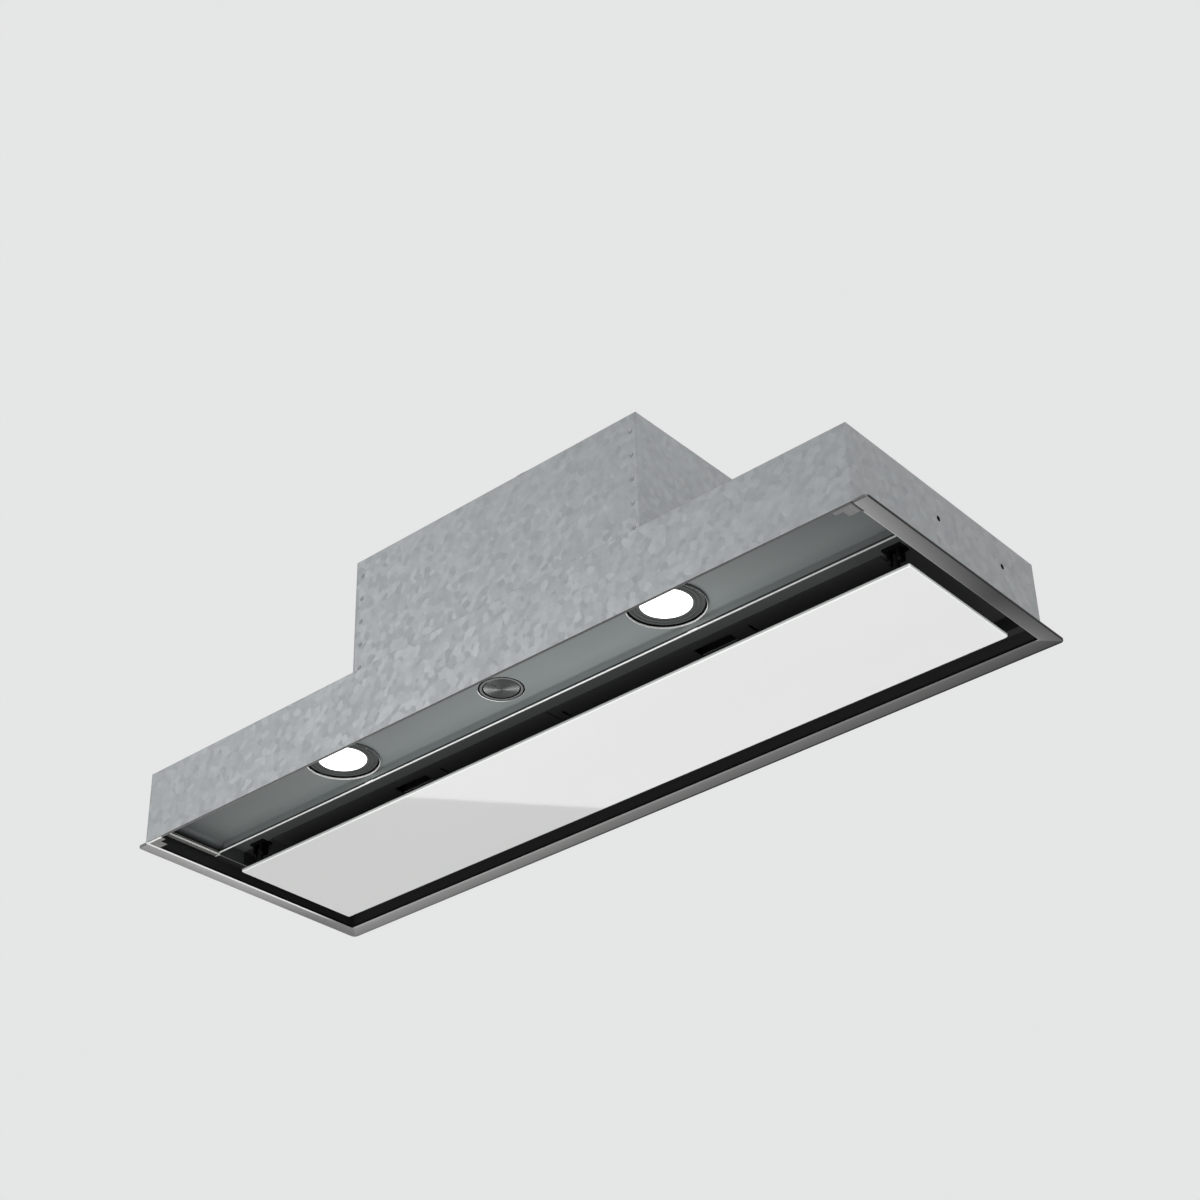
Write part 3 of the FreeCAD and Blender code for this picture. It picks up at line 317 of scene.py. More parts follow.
def scaleColour(tree, colour, value):
    node = tree.nodes.new("ShaderNodeMix")
    node.data_type = "RGBA"
    node.blend_type = "MULTIPLY"
    node.inputs["Factor"].default_value = 1.0
    tree.links.new(colour, node.inputs[6])
    tree.links.new(value, node.inputs[7])
    return node.outputs[2]


def objectPlace(tree):
    return tree.nodes.new("ShaderNodeTexCoord").outputs["Object"]


def splitPlace(tree):
    split = tree.nodes.new("ShaderNodeSeparateXYZ")
    tree.links.new(objectPlace(tree), split.inputs[0])
    return split.outputs


def addNoise(tree, scale, detail=3.0):
    mapping = tree.nodes.new("ShaderNodeMapping")
    mapping.inputs["Scale"].default_value = scale
    tree.links.new(objectPlace(tree), mapping.inputs["Vector"])
    noise = tree.nodes.new("ShaderNodeTexNoise")
    noise.inputs["Scale"].default_value = 1.0
    noise.inputs["Detail"].default_value = detail
    tree.links.new(mapping.outputs["Vector"], noise.inputs["Vector"])
    return noise.outputs["Fac"]


# Relief on top of edges that are softened by a small radius, as on folded or moulded pieces
def addRelief(tree, shader, height, strength, edgeRadius, distance=0.3 * mm):
    bevel = tree.nodes.new("ShaderNodeBevel")
    bevel.inputs["Radius"].default_value = edgeRadius
    bump = tree.nodes.new("ShaderNodeBump")
    bump.inputs["Strength"].default_value = strength
    bump.inputs["Distance"].default_value = distance
    tree.links.new(height, bump.inputs["Height"])
    tree.links.new(bevel.outputs["Normal"], bump.inputs["Normal"])
    tree.links.new(bump.outputs["Normal"], shader.inputs["Normal"])


# Fine grain in gloss and relief
def addGrain(tree, shader, setup, detail=2.0):
    fine = addNoise(tree, (setup["grain"],) * 3, detail)
    tree.links.new(addRange(tree, fine, *setup["roughness"]), shader.inputs["Roughness"])
    addRelief(tree, shader, fine, setup["bump"], setup["edge"])
    return fine


# Distance in the XY plane from a centre, with its two parts
def addRadius(tree, x, y, centre):
    fromX = addMath(tree, "SUBTRACT", x, centre[0])
    fromY = addMath(tree, "SUBTRACT", y, centre[1])
    squares = addMath(tree, "MULTIPLY_ADD", fromX, fromX, addMath(tree, "MULTIPLY", fromY, fromY))
    return addMath(tree, "SQRT", squares), fromX, fromY


def boxMiddle(node):
    low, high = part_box(node)
    return [(a + b) / 2 for a, b in zip(low, high)]


# Brushed steel of the trim frame: the grain follows each side and meets at mitres in the rear corners.
# Painted light and shade grade the steel along each side and across the flange, and a painted highlight
# brightens the bend along the opening, white on the left; the lip's wall and the outer edges carry painted
# shade.
# Each span is a value at its start and at its end, and then where it starts and ends.
trimFinish = {
    "dark": (0.265, 0.266, 0.265),
    "light": (0.305, 0.306, 0.305),
    "roughness": (0.30, 0.46),
    "alongGrain": 9.0,
    "acrossGrain": 1500.0,
    "bump": 0.05,
    "edge": 0.4 * mm,
    # Painted light and shade along the right, left and rear sides
    "rightLightTone": ((1.24, 0.38, -0.14, 0.04), (0.0, 0.46, 0.05, 0.13)),
    "leftLightTone": ((1.0, 1.15, -0.145, -0.04), (0.0, -0.58, -0.02, 0.09)),
    "rearLightTone": ((0.76, 1.0, -0.43, -0.2), (0.0, -0.55, -0.1, 0.44)),
    "flangeLightTone": (0.80, 1.22, 0.0, 15.0 * mm),  # from the outer edge inwards
    "opening": (433.0 * mm, 133.0 * mm),
    "bendWidth": (0.9 * mm, 1.8 * mm),  # at the sides and at the rear
    # Painted highlight: the bend is brighter by this factor
    "bendHighlightGain": 1.4,
    # Painted highlight on the left: white along the bend of the opening, on the tabs' seams and on their
    # front lines
    "paintedHighlight": (0.90, 0.905, 0.90),
    "lipHighlightWidth": 2.6 * mm,
    "flatHeight": 0.25 * mm,
    "lipHighlightFade": (1.0, 0.0, 0.07, 0.11),
    # Painted shade on the outer edges and on the lip's wall, fainter on the left; the same dark marks the
    # tabs' seams
    "outline": (0.028, 0.028, 0.028),
    "edgeShadeWidth": (1.1 * mm, 2.2 * mm),  # at the right and at the rear
    "edgeShadeFade": (0.25, 1.0, -0.40, 0.0),
    "lipWallShade": 1.0 * mm,
    # Painted light: the left tabs are a shaded copy and the right tabs a lit copy of one steel
    "shadedLeftTab": (0.19, 0.19, 0.185),
    "litRightTab": (0.27, 0.272, 0.27),
    "tabInset": 1.1 * mm,
    "tabDepth": 17.5 * mm,
    "tabReach": 21.0 * mm,
    "seamWidth": 0.5 * mm,
    # Painted shade on the narrow front edge
    "frontEdgeShade": (0.15, 0.15, 0.15),
    "frontWidth": 2.2 * mm,
}


# Places and masks that the parts of the trim's finish share
def measureTrim(tree, setup):
    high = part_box("trim_frame")[1]
    x, y, z = splitPlace(tree)
    sideX = addMath(tree, "ABSOLUTE", x)
    fromSide = addMath(tree, "SUBTRACT", high[0], sideX)
    fromRear = addMath(tree, "SUBTRACT", high[1], y)
    openingX = addMath(tree, "SUBTRACT", sideX, setup["opening"][0])
    openingY = addMath(tree, "SUBTRACT", y, setup["opening"][1])
    return {
        "x": x,
        "y": y,
        "sideX": sideX,
        "fromEdge": addMath(tree, "MINIMUM", fromSide, fromRear),
        "fromOpening": addMath(tree, "MAXIMUM", openingX, openingY),
        "onSide": isBelow(tree, fromSide, fromRear),
        "atLeft": isBelow(tree, x, 0.0),
        "isFlat": isBelow(tree, z, setup["flatHeight"]),
    }


# Painted light and shade along one side: a start and a change further on
def addLightTone(tree, value, spans):
    return addMath(tree, "ADD", *[addRange(tree, value, *span) for span in spans])


# Brushed tone of the grain, scaled by painted light and shade along each side and across the flange, and by
# a painted highlight at the bend
def addBrushedToneAndLight(tree, setup, at, grain):
    tone = addMix(tree, addRange(tree, grain, 0, 1), setup["dark"], setup["light"])
    sideLightTones = [addLightTone(tree, at["y"], setup[key]) for key in ("rightLightTone", "leftLightTone")]
    sideLightTone = pickValue(tree, at["atLeft"], *sideLightTones)
    lightLevel = pickValue(tree, at["onSide"], addLightTone(tree, at["x"], setup["rearLightTone"]), sideLightTone)
    flangeLightTone = addRange(tree, at["fromEdge"], *setup["flangeLightTone"])
    sideWidth, rearWidth = setup["bendWidth"]
    onBend = isBelow(tree, at["fromOpening"], addRange(tree, at["onSide"], rearWidth, sideWidth, 0, 1))
    bendHighlightGain = addRange(tree, onBend, 1.0, setup["bendHighlightGain"], 0, 1)
    return scaleColour(tree, tone, allOf(tree, lightLevel, flangeLightTone, bendHighlightGain))


# Corner tabs, a shaded copy on the left and a lit copy on the right, and the narrow front edge in painted
# shade, with masks of the tabs' seams and front lines
def addTabs(tree, setup, at, tone):
    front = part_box("trim_frame")[0][1]
    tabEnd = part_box("suction_frame")[1][0] - setup["tabInset"]
    atTab = isBelow(tree, at["y"], front + setup["tabDepth"])
    atFront = isBelow(tree, at["y"], front + setup["frontWidth"])
    isInside = isBelow(tree, at["sideX"], tabEnd)
    atEnd = isAbove(tree, at["sideX"], tabEnd - setup["tabReach"])
    litOrShadedTab = addMix(tree, at["atLeft"], setup["litRightTab"], setup["shadedLeftTab"])
    tone = addMix(tree, allOf(tree, atTab, isInside), tone, litOrShadedTab)
    tone = addMix(tree, atFront, tone, setup["frontEdgeShade"])
    seam = allOf(tree, atTab, isNear(tree, at["sideX"], tabEnd, setup["seamWidth"]))
    return tone, seam, allOf(tree, atFront, atEnd, isInside, at["isFlat"])


def makeTrimFinish(setup):
    material, tree, shader = startFinish("brushedTrim", setup["light"], metallic=1.0)
    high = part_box("trim_frame")[1]
    at = measureTrim(tree, setup)
    along, across = setup["alongGrain"], setup["acrossGrain"]
    rearGrain = addNoise(tree, (along, across, across))
    sideGrain = addNoise(tree, (across, along, across))
    grain = pickValue(tree, at["onSide"], rearGrain, sideGrain)
    tone, seam, frontHighlight = addTabs(tree, setup, at, addBrushedToneAndLight(tree, setup, at, grain))
    # Painted highlight along the opening on the left, fading towards the rear, together with the seams and
    # front lines
    onLipHighlight = isBelow(tree, at["fromOpening"], setup["lipHighlightWidth"])
    onLipHighlight = allOf(tree, onLipHighlight, isAbove(tree, at["fromOpening"], 0.0), at["onSide"], at["isFlat"])
    onLipHighlight = allOf(tree, onLipHighlight, addRange(tree, at["y"], *setup["lipHighlightFade"]))
    paintedHighlight = allOf(tree, anyOf(tree, onLipHighlight, seam, frontHighlight), at["atLeft"])
    # Painted shade along the right and rear outer edges and on the lip's wall
    rightWidth, rearWidth = setup["edgeShadeWidth"]
    atRight = isAbove(tree, at["x"], high[0] - rightWidth)
    atRear = isAbove(tree, at["y"], high[1] - rearWidth)
    outline = allOf(tree, anyOf(tree, atRight, atRear), addRange(tree, at["x"], *setup["edgeShadeFade"]))
    isRaised = addMath(tree, "SUBTRACT", 1.0, at["isFlat"])
    lipWallShade = allOf(tree, isBelow(tree, at["fromOpening"], setup["lipWallShade"]), isRaised)
    edged = addMix(tree, anyOf(tree, outline, seam, lipWallShade), tone, setup["outline"])
    tree.links.new(addMix(tree, paintedHighlight, edged, setup["paintedHighlight"]), shader.inputs["Base Color"])
    tree.links.new(addMath(tree, "SUBTRACT", 1.0, paintedHighlight), shader.inputs["Metallic"])
    tree.links.new(addRange(tree, grain, *setup["roughness"]), shader.inputs["Roughness"])
    addRelief(tree, shader, grain, setup["bump"], setup["edge"])
    return material


# Satin grey paint of the lamp panel, with painted shade in the bends and towards the ends, a painted
# highlight on the hem, on the hole edges and along the end flanges, painted shade in the holes and on the
# lamp collars, and bare end flanges
panelFinish = {
    "paint": (0.186, 0.205, 0.204),
    "paintShade": (0.166, 0.184, 0.183),
    "cloud": (6, 14, 14),
    # Painted light, brighter towards the rear bend
    "paintRearLight": (1.0, 1.2, -0.12, -0.066),
    "grain": 1800.0,
    "roughness": (0.28, 0.38),
    "bump": 0.03,
    "edge": 0.6 * mm,
    "shine": (0.5, 0.05, 0.0, 0.95),  # less where painted shade lies
    "black": (0.002, 0.002, 0.002),
    # Painted highlight of the hem, the hole edges and the end flanges' inner line
    "highlightColour": (0.90, 0.91, 0.90),
    "endFlange": 10.0 * mm,
    "endShade": (0.35, 45.0 * mm, 6.0 * mm),
    "sideShades": ((0.0, 0.36, 0.24, 0.42), (0.0, 0.17, -0.20, -0.40)),
    "wallDepth": 5.4 * mm,
    "wallShade": (0.97, 0.35, 19.5 * mm, 26.5 * mm),
    "wallLine": (17.9 * mm, 0.45 * mm),
    "bendLine": (-65.9 * mm, 0.8 * mm),
    "bendDark": 0.22,
    "bendDepth": 1.0 * mm,
    "crease": 2.6 * mm,
    "creaseDark": 0.82,
    "hemLow": 17.0 * mm,
    "hemHeight": 1.05 * mm,
    "hemRear": 1.7 * mm,
    "hemBack": 0.7 * mm,
    "hemHighlightFade": (1.0, 0.45, 0.16, 0.42),
    "strip": (0.20, 0.20, 0.19),
    "stripDark": (0.16, 0.16, 0.152),
    "stripDrop": 0.5 * mm,
    "ribPitch": 2.2 * mm,
    "endHighlightWidth": 0.75 * mm,
    "lampHole": 36.2 * mm,
    "lampHighlightHeight": 1.4 * mm,
    "lampGlint": {"facing": (-0.66, 0.75), "span": (0.0, 1.0, -0.25, 0.15), "width": 0.5 * mm},
    "lampGlintDepth": 0.1 * mm,
    "collar": (0.075, 0.082, 0.082),
    "collarWall": 0.8 * mm,
    "collarHeight": 2.4 * mm,
    "knobHole": 22.0 * mm,
    "knobHighlightHeight": 0.3 * mm,
    "knobGlint": {"facing": (-0.97, 0.24), "span": (0.0, 1.0, 0.62, 0.80), "width": 0.8 * mm},
    "holeSlack": 0.03 * mm,
    "slack": 0.05 * mm,
}


# Places and masks that the parts of the panel's finish share
def measurePanel(tree, setup):
    x, y, z = splitPlace(tree)
    sideX = addMath(tree, "ABSOLUTE", x)
    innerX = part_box("suction_frame")[1][0] - setup["endFlange"]
    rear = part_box("lamp_panel")[1][1]
    return {
        "x": x,
        "y": y,
        "z": z,
        "sideX": sideX,
        "innerX": innerX,
        "rear": rear,
        "faceHeight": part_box("knob_bezel")[0][2],
        "hemTop": setup["hemLow"] + setup["hemHeight"],
        "atRear": isAbove(tree, y, rear - setup["hemRear"]),
        "onWall": isAbove(tree, sideX, innerX - setup["wallDepth"]),
    }


# Painted shade towards the ends and both sides, on the end walls, in the crease above the hem and in the
# rear bend
def addPanelShade(tree, setup, at):
    endDark, endFrom, endTo = setup["endShade"]
    ends = addRange(tree, at["sideX"], 0, endDark, at["innerX"] - endFrom, at["innerX"] - endTo)
    sides = [addRange(tree, at["x"], *span) for span in setup["sideShades"]]
    walls = allOf(tree, at["onWall"], addRange(tree, at["z"], *setup["wallShade"]))
    half = setup["crease"] / 2
    crease = allOf(tree, isNear(tree, at["z"], at["hemTop"] + half, half), at["atRear"], setup["creaseDark"])
    onFace = isAbove(tree, at["z"], at["faceHeight"] - setup["bendDepth"])
    bend = allOf(tree, isNear(tree, at["y"], *setup["bendLine"]), setup["bendDark"], onFace)
    return anyOf(tree, ends, *sides, walls, crease, bend)


# Bare end flanges with fine ribs, a line on the wall above them and a mask of their inner line, which takes
# a painted highlight
def addPanelEnds(tree, setup, at, base):
    isLow = isBelow(tree, at["z"], setup["hemLow"] - setup["stripDrop"])
    onEnd = allOf(tree, isLow, isAbove(tree, at["sideX"], at["innerX"] - setup["slack"]))
    ribs = addRange(tree, addWave(tree, at["y"], setup["ribPitch"]), 0, 1, -1.0, 1.0)
    strip = addMix(tree, ribs, setup["stripDark"], setup["strip"])
    wallLine = allOf(tree, at["onWall"], isNear(tree, at["z"], *setup["wallLine"]))
    base = addMix(tree, wallLine, base, setup["strip"])
    innerEdgeHighlight = allOf(tree, onEnd, isBelow(tree, at["sideX"], at["innerX"] + setup["endHighlightWidth"]))
    return addMix(tree, onEnd, base, strip), innerEdgeHighlight


# Hole edges: a painted highlight at the mouth, up to a height, and painted shade, black, deeper in
def addHoleEdge(tree, radius, z, holeRadius, highlightTop):
    onWall = isBelow(tree, radius, holeRadius)
    edge = allOf(tree, onWall, isBelow(tree, z, highlightTop))
    return edge, addMath(tree, "SUBTRACT", onWall, edge)


# Painted highlight on a hole's outer edge, which faces one way and fades out to both sides
def addGlint(tree, place, holeRadius, setup):
    radius, fromX, fromY = place
    towards = addMath(tree, "MULTIPLY", fromX, setup["facing"][0])
    towards = addMath(tree, "MULTIPLY_ADD", fromY, setup["facing"][1], towards)
    glint = addRange(tree, addMath(tree, "DIVIDE", towards, radius), *setup["span"])
    return allOf(tree, glint, isBelow(tree, radius, holeRadius + setup["width"]))


# Painted shade on the collars round the lamp holes, with masks of the holes' painted highlights and of their
# walls in painted shade
def addPanelHoles(tree, setup, at, base):
    lampHole, knobHole, slack = setup["lampHole"], setup["knobHole"], setup["holeSlack"]
    mouth = at["faceHeight"] - setup["collarHeight"]
    radius, fromX, fromY = addRadius(tree, at["sideX"], at["y"], boxMiddle("lamp_bezel_right"))
    lamp = (radius, addMath(tree, "MULTIPLY", fromX, addMath(tree, "SIGN", at["x"])), fromY)
    knob = addRadius(tree, at["x"], at["y"], boxMiddle("knob_bezel"))
    lampTop, knobTop = mouth + setup["lampHighlightHeight"], at["faceHeight"] + setup["knobHighlightHeight"]
    lampHighlight, lampWallShade = addHoleEdge(tree, lamp[0], at["z"], lampHole + slack, lampTop)
    knobHighlight, knobWallShade = addHoleEdge(tree, knob[0], at["z"], knobHole + slack, knobTop)
    atMouth = isBelow(tree, at["z"], mouth + setup["lampGlintDepth"])
    lampGlint = allOf(tree, addGlint(tree, lamp, lampHole, setup["lampGlint"]), atMouth)
    knobGlint = addGlint(tree, knob, knobHole, setup["knobGlint"])
    onCollar = isBelow(tree, lamp[0], lampHole + setup["collarWall"] + setup["slack"])
    onCollar = allOf(tree, onCollar, isBelow(tree, at["z"], at["faceHeight"] - setup["slack"]))
    base = addMix(tree, onCollar, base, setup["collar"])
    edges = anyOf(tree, lampHighlight, lampGlint, knobHighlight, knobGlint)
    return base, edges, anyOf(tree, lampWallShade, knobWallShade)


def makePanelFinish(setup):
    material, tree, shader = startFinish("greyPanel", setup["paint"])
    at = measurePanel(tree, setup)
    cloud = addNoise(tree, setup["cloud"], 4.0)
    paint = addMix(tree, addRange(tree, cloud, 0, 1), setup["paintShade"], setup["paint"])
    # Painted light towards the rear bend
    paint = scaleColour(tree, paint, addRange(tree, at["y"], *setup["paintRearLight"]))
    shade = addPanelShade(tree, setup, at)
    base = addMix(tree, shade, paint, setup["black"])
    base, endHighlight = addPanelEnds(tree, setup, at, base)
    base, holeHighlights, holeWallShade = addPanelHoles(tree, setup, at, base)
    # Painted highlight on the hem, fading towards the right
    onFold = isBelow(tree, at["y"], at["rear"] - setup["hemBack"])
    hemHighlight = allOf(tree, at["atRear"], isBelow(tree, at["z"], at["hemTop"]), onFold)
    hemHighlight = allOf(tree, hemHighlight, addRange(tree, at["x"], *setup["hemHighlightFade"]))
    base = addMix(tree, anyOf(tree, holeHighlights, hemHighlight, endHighlight), base, setup["highlightColour"])
    base = addMix(tree, holeWallShade, base, setup["black"])
    tree.links.new(base, shader.inputs["Base Color"])
    tree.links.new(addRange(tree, shade, *setup["shine"]), shader.inputs["Specular IOR Level"])
    addGrain(tree, shader, setup)
    return material


# Black enamel of the stepped surround: a painted lit grey on the deck in front of the filters, fading at the
# right end, and a painted highlight along the bend line
surroundFinish = {
    "ledge": (0.030, 0.0305, 0.0305),
    "deck": (0.085, 0.089, 0.088),
    "deckHeight": 16.2 * mm,
    "deckFade": (1.0, 0.35, 0.33, 0.395),
    # Painted highlight along the bend beside the glass
    "bend": (0.26, 0.265, 0.26),
    "bendInset": 10.0 * mm,
    "bendHeight": 15.5 * mm,
    "bendWidth": 0.9 * mm,
    "shine": 0.12,
    "grain": 1400.0,
    "roughness": (0.38, 0.50),
    "bump": 0.04,
    "edge": 0.6 * mm,
}


def makeSurroundFinish(setup):
    material, tree, shader = startFinish("surroundEnamel", setup["ledge"])
    shader.inputs["Specular IOR Level"].default_value = setup["shine"]
    x, y, z = splitPlace(tree)
    isHigh = isAbove(tree, z, setup["deckHeight"])
    isFront = isBelow(tree, y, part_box("filter_frame_left")[0][1])
    onDeck = allOf(tree, isHigh, isFront, addRange(tree, x, *setup["deckFade"]))
    base = addMix(tree, onDeck, setup["ledge"], setup["deck"])
    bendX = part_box("suction_frame")[1][0] - setup["bendInset"] + setup["bendWidth"]
    onBend = isBelow(tree, addMath(tree, "ABSOLUTE", x), bendX)
    besideGlass = isBelow(tree, y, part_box("glass_panel")[1][1])
    onBend = allOf(tree, onBend, isBelow(tree, z, setup["bendHeight"]), besideGlass)
    tree.links.new(addMix(tree, onBend, base, setup["bend"]), shader.inputs["Base Color"])
    addGrain(tree, shader, setup)
    return material


# Plain finishes: a colour that drifts a little, and a fine grain in gloss and relief. Above the height
# of its split a finish takes painted shade, near black, on its deeper parts.
plainFinishes = {
    "blackEnamel": {"colour": (0.0105, 0.011, 0.011), "drift": 0.3, "roughness": (0.40, 0.52),
                    "grain": 1400.0, "bump": 0.04, "edge": 0.5 * mm},
    "bezelPlastic": {"colour": (0.060, 0.066, 0.066), "drift": 0.2, "roughness": (0.40, 0.52),
                     "grain": 2600.0, "bump": 0.06, "edge": 0.25 * mm,
                     "split": 29.4 * mm, "deepShade": (0.003, 0.003, 0.003)},
    "blackPlastic": {"colour": (0.020, 0.020, 0.021), "drift": 0.25, "roughness": (0.42, 0.56),
                     "grain": 2200.0, "bump": 0.08, "edge": 0.4 * mm},
    "greyPlastic": {"colour": (0.28, 0.29, 0.29), "drift": 0.12, "roughness": (0.45, 0.58),
                    "grain": 2200.0, "bump": 0.08, "edge": 0.5 * mm},
    "pinSteel": {"colour": (0.55, 0.55, 0.54), "drift": 0.15, "roughness": (0.22, 0.34),
                 "metallic": 1.0, "grain": 900.0, "bump": 0.03, "edge": 0.2 * mm},
    "heatSink": {"colour": (0.60, 0.61, 0.62), "drift": 0.15, "roughness": (0.38, 0.52),
                 "metallic": 1.0, "grain": 1200.0, "bump": 0.05, "edge": 0.3 * mm},
    "knobRing": {"colour": (0.15, 0.158, 0.155), "drift": 0.1, "roughness": (0.30, 0.40),
                 "grain": 2600.0, "bump": 0.03, "edge": 0.3 * mm,
                 "split": 28.4 * mm, "deepShade": (0.003, 0.003, 0.003)},
    "filterEnamel": {"colour": (0.042, 0.043, 0.043), "drift": 0.2, "roughness": (0.42, 0.54),
                     "grain": 1400.0, "bump": 0.04, "edge": 0.4 * mm,
                     "split": 30.2 * mm, "deepShade": (0.004, 0.004, 0.004)},
    "catchPlastic": {"colour": (0.006, 0.006, 0.006), "drift": 0.2, "roughness": (0.48, 0.60),
                     "grain": 2200.0, "bump": 0.06, "edge": 0.4 * mm, "shine": 0.12},
    "latchPlastic": {"colour": (0.30, 0.30, 0.30), "drift": 0.1, "roughness": (0.42, 0.56),
                     "grain": 2200.0, "bump": 0.08, "edge": 0.2 * mm,
                     "split": 30.9 * mm, "deepShade": (0.006, 0.006, 0.006)},
    "boardGreen": {"colour": (0.02, 0.11, 0.05), "drift": 0.2, "roughness": (0.34, 0.46),
                   "grain": 900.0, "bump": 0.03, "edge": 0.1 * mm},
    "motorPaint": {"colour": (0.10, 0.10, 0.10), "drift": 0.2, "roughness": (0.40, 0.52),
                   "grain": 1200.0, "bump": 0.05, "edge": 0.4 * mm},
}
driftScale = (9, 9, 9)


def makePlainFinish(name, setup):
    material, tree, shader = startFinish(name, setup["colour"], metallic=setup.get("metallic", 0.0))
    shade = tuple(part * (1 - setup["drift"]) for part in setup["colour"])
    tone = addMix(tree, addRange(tree, addNoise(tree, driftScale), 0, 1), shade, setup["colour"])
    if "shine" in setup:
        shader.inputs["Specular IOR Level"].default_value = setup["shine"]
    if "split" in setup:
        isHigh = isAbove(tree, splitPlace(tree)[2], setup["split"])
        tone = addMix(tree, isHigh, tone, setup["deepShade"])
    tree.links.new(tone, shader.inputs["Base Color"])
    addGrain(tree, shader, setup)
    return material


# Galvanised sheet: overlapping spangles of slightly different brightness
zincFinish = {
    "dark": (0.30, 0.312, 0.32),
    "light": (0.38, 0.393, 0.402),
    "spangle": 130.0,
    "spangleShare": 0.55,
    "streak": (120, 120, 120),
    "streakShare": 0.45,
    "roughness": (0.36, 0.52),
    "bump": 0.02,
    "edge": 0.8 * mm,
}


def makeZincFinish(setup):
    material, tree, shader = startFinish("galvanisedSheet", setup["light"], metallic=1.0)
    cells = tree.nodes.new("ShaderNodeTexVoronoi")
    cells.inputs["Scale"].default_value = setup["spangle"]
    tree.links.new(objectPlace(tree), cells.inputs["Vector"])
    tone = tree.nodes.new("ShaderNodeSeparateColor")
    tree.links.new(cells.outputs["Color"], tone.inputs[0])
    streak = addNoise(tree, setup["streak"], 4.0)
    streaks = addRange(tree, streak, 0.0, setup["streakShare"])
    blend = addMath(tree, "MULTIPLY_ADD", tone.outputs[0], setup["spangleShare"], streaks)
    tree.links.new(addMix(tree, blend, setup["dark"], setup["light"]), shader.inputs["Base Color"])
    gloss = addRange(tree, tone.outputs[1], *setup["roughness"], 0.0, 1.0)
    tree.links.new(gloss, shader.inputs["Roughness"])
    addRelief(tree, shader, streak, setup["bump"], setup["edge"])
    return material


# White glass: clear plate over white paint, with grey sawn sides, a painted highlight along the chamfer and
# on the lower part of the right side
glassFinish = {
    "white": (0.78, 0.787, 0.783),
    "shade": (0.76, 0.767, 0.763),
    "cloud": (2.5, 6, 6),
    "chamferHighlight": (0.87, 0.88, 0.875),
    "side": (0.50, 0.515, 0.51),
    "roughness": 0.022,
    "chamferWidth": 1.25 * mm,
    "sideDepth": 0.35 * mm,
    "sideLow": 0.8 * mm,  # painted highlight on the right side up to here
}


def makeGlassFinish(setup):
    material, tree, shader = startFinish("whiteGlass", setup["white"], setup["roughness"])
    low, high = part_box("glass_panel")
    x, y, z = splitPlace(tree)
    fromSide = addMath(tree, "SUBTRACT", high[0], addMath(tree, "ABSOLUTE", x))
    fromFront = addMath(tree, "SUBTRACT", y, low[1])
    fromRear = addMath(tree, "SUBTRACT", high[1], y)
    nearest = addMath(tree, "MINIMUM", fromSide, addMath(tree, "MINIMUM", fromFront, fromRear))
    isChamfer = isBelow(tree, nearest, setup["chamferWidth"])
    atRight = isAbove(tree, x, high[0] - setup["sideDepth"])
    rightSideHighlight = allOf(tree, atRight, isBelow(tree, z, setup["sideLow"]))
    isSide = addMath(tree, "SUBTRACT", isBelow(tree, nearest, setup["sideDepth"]), rightSideHighlight)
    cloud = addNoise(tree, setup["cloud"], 2.0)
    face = addMix(tree, addRange(tree, cloud, 0, 1), setup["shade"], setup["white"])
    edge = addMix(tree, isChamfer, face, setup["chamferHighlight"])
    tree.links.new(addMix(tree, isSide, edge, setup["side"]), shader.inputs["Base Color"])
    return material


# Lit opal diffuser of the lamps
lensFinish = {
    "colour": (0.95, 0.95, 0.93),
    "glowColour": (1.0, 0.99, 0.96),
    "glow": 2.2,
    "grain": (900, 900, 900),
    "roughness": (0.46, 0.56),
}


def makeLensFinish(setup):
    material, tree, shader = startFinish("litDiffuser", setup["colour"])
    fine = addNoise(tree, setup["grain"], 2.0)
    tree.links.new(addRange(tree, fine, *setup["roughness"]), shader.inputs["Roughness"])
    shader.inputs["Emission Color"].default_value = (*setup["glowColour"], 1)
    shader.inputs["Emission Strength"].default_value = setup["glow"]
    return material


# Spun metal of the knob: fine rings about its axis, which draw the light out into rays
knobFinish = {
    "dark": (0.12, 0.124, 0.122),
    "light": (0.165, 0.17, 0.167),
    "ringPitch": 0.45 * mm,
    "anisotropy": 0.8,
    "quarterTurn": 0.25,
    "roughness": (0.42, 0.50),
    "bump": 0.05,
    "edge": 0.2 * mm,
}


def makeKnobFinish(setup):
    material, tree, shader = startFinish("spunMetal", setup["light"], metallic=1.0)
    x, y, _ = splitPlace(tree)
    radius = addRadius(tree, x, y, boxMiddle("control_knob"))[0]
    ring = addWave(tree, radius, setup["ringPitch"])
    tone = addMix(tree, addRange(tree, ring, 0, 1, -1.0, 1.0), setup["dark"], setup["light"])
    tree.links.new(tone, shader.inputs["Base Color"])
    tree.links.new(addRange(tree, ring, *setup["roughness"], -1.0, 1.0), shader.inputs["Roughness"])
    shader.inputs["Anisotropic"].default_value = setup["anisotropy"]
    shader.inputs["Anisotropic Rotation"].default_value = setup["quarterTurn"]
    tangent = tree.nodes.new("ShaderNodeTangent")
    tangent.direction_type = "RADIAL"
    tangent.axis = "Z"
    tree.links.new(tangent.outputs["Tangent"], shader.inputs["Tangent"])
    addRelief(tree, shader, ring, setup["bump"], setup["edge"])
    return material


# Expanded aluminium of the filter pads, dull from handling
padFinish = {
    "strand": (0.40, 0.40, 0.39),
    "shade": (0.22, 0.22, 0.215),
    "grain": 700.0,
    "roughness": (0.34, 0.48),
    "bump": 0.2,
    "edge": 0.2 * mm,
}


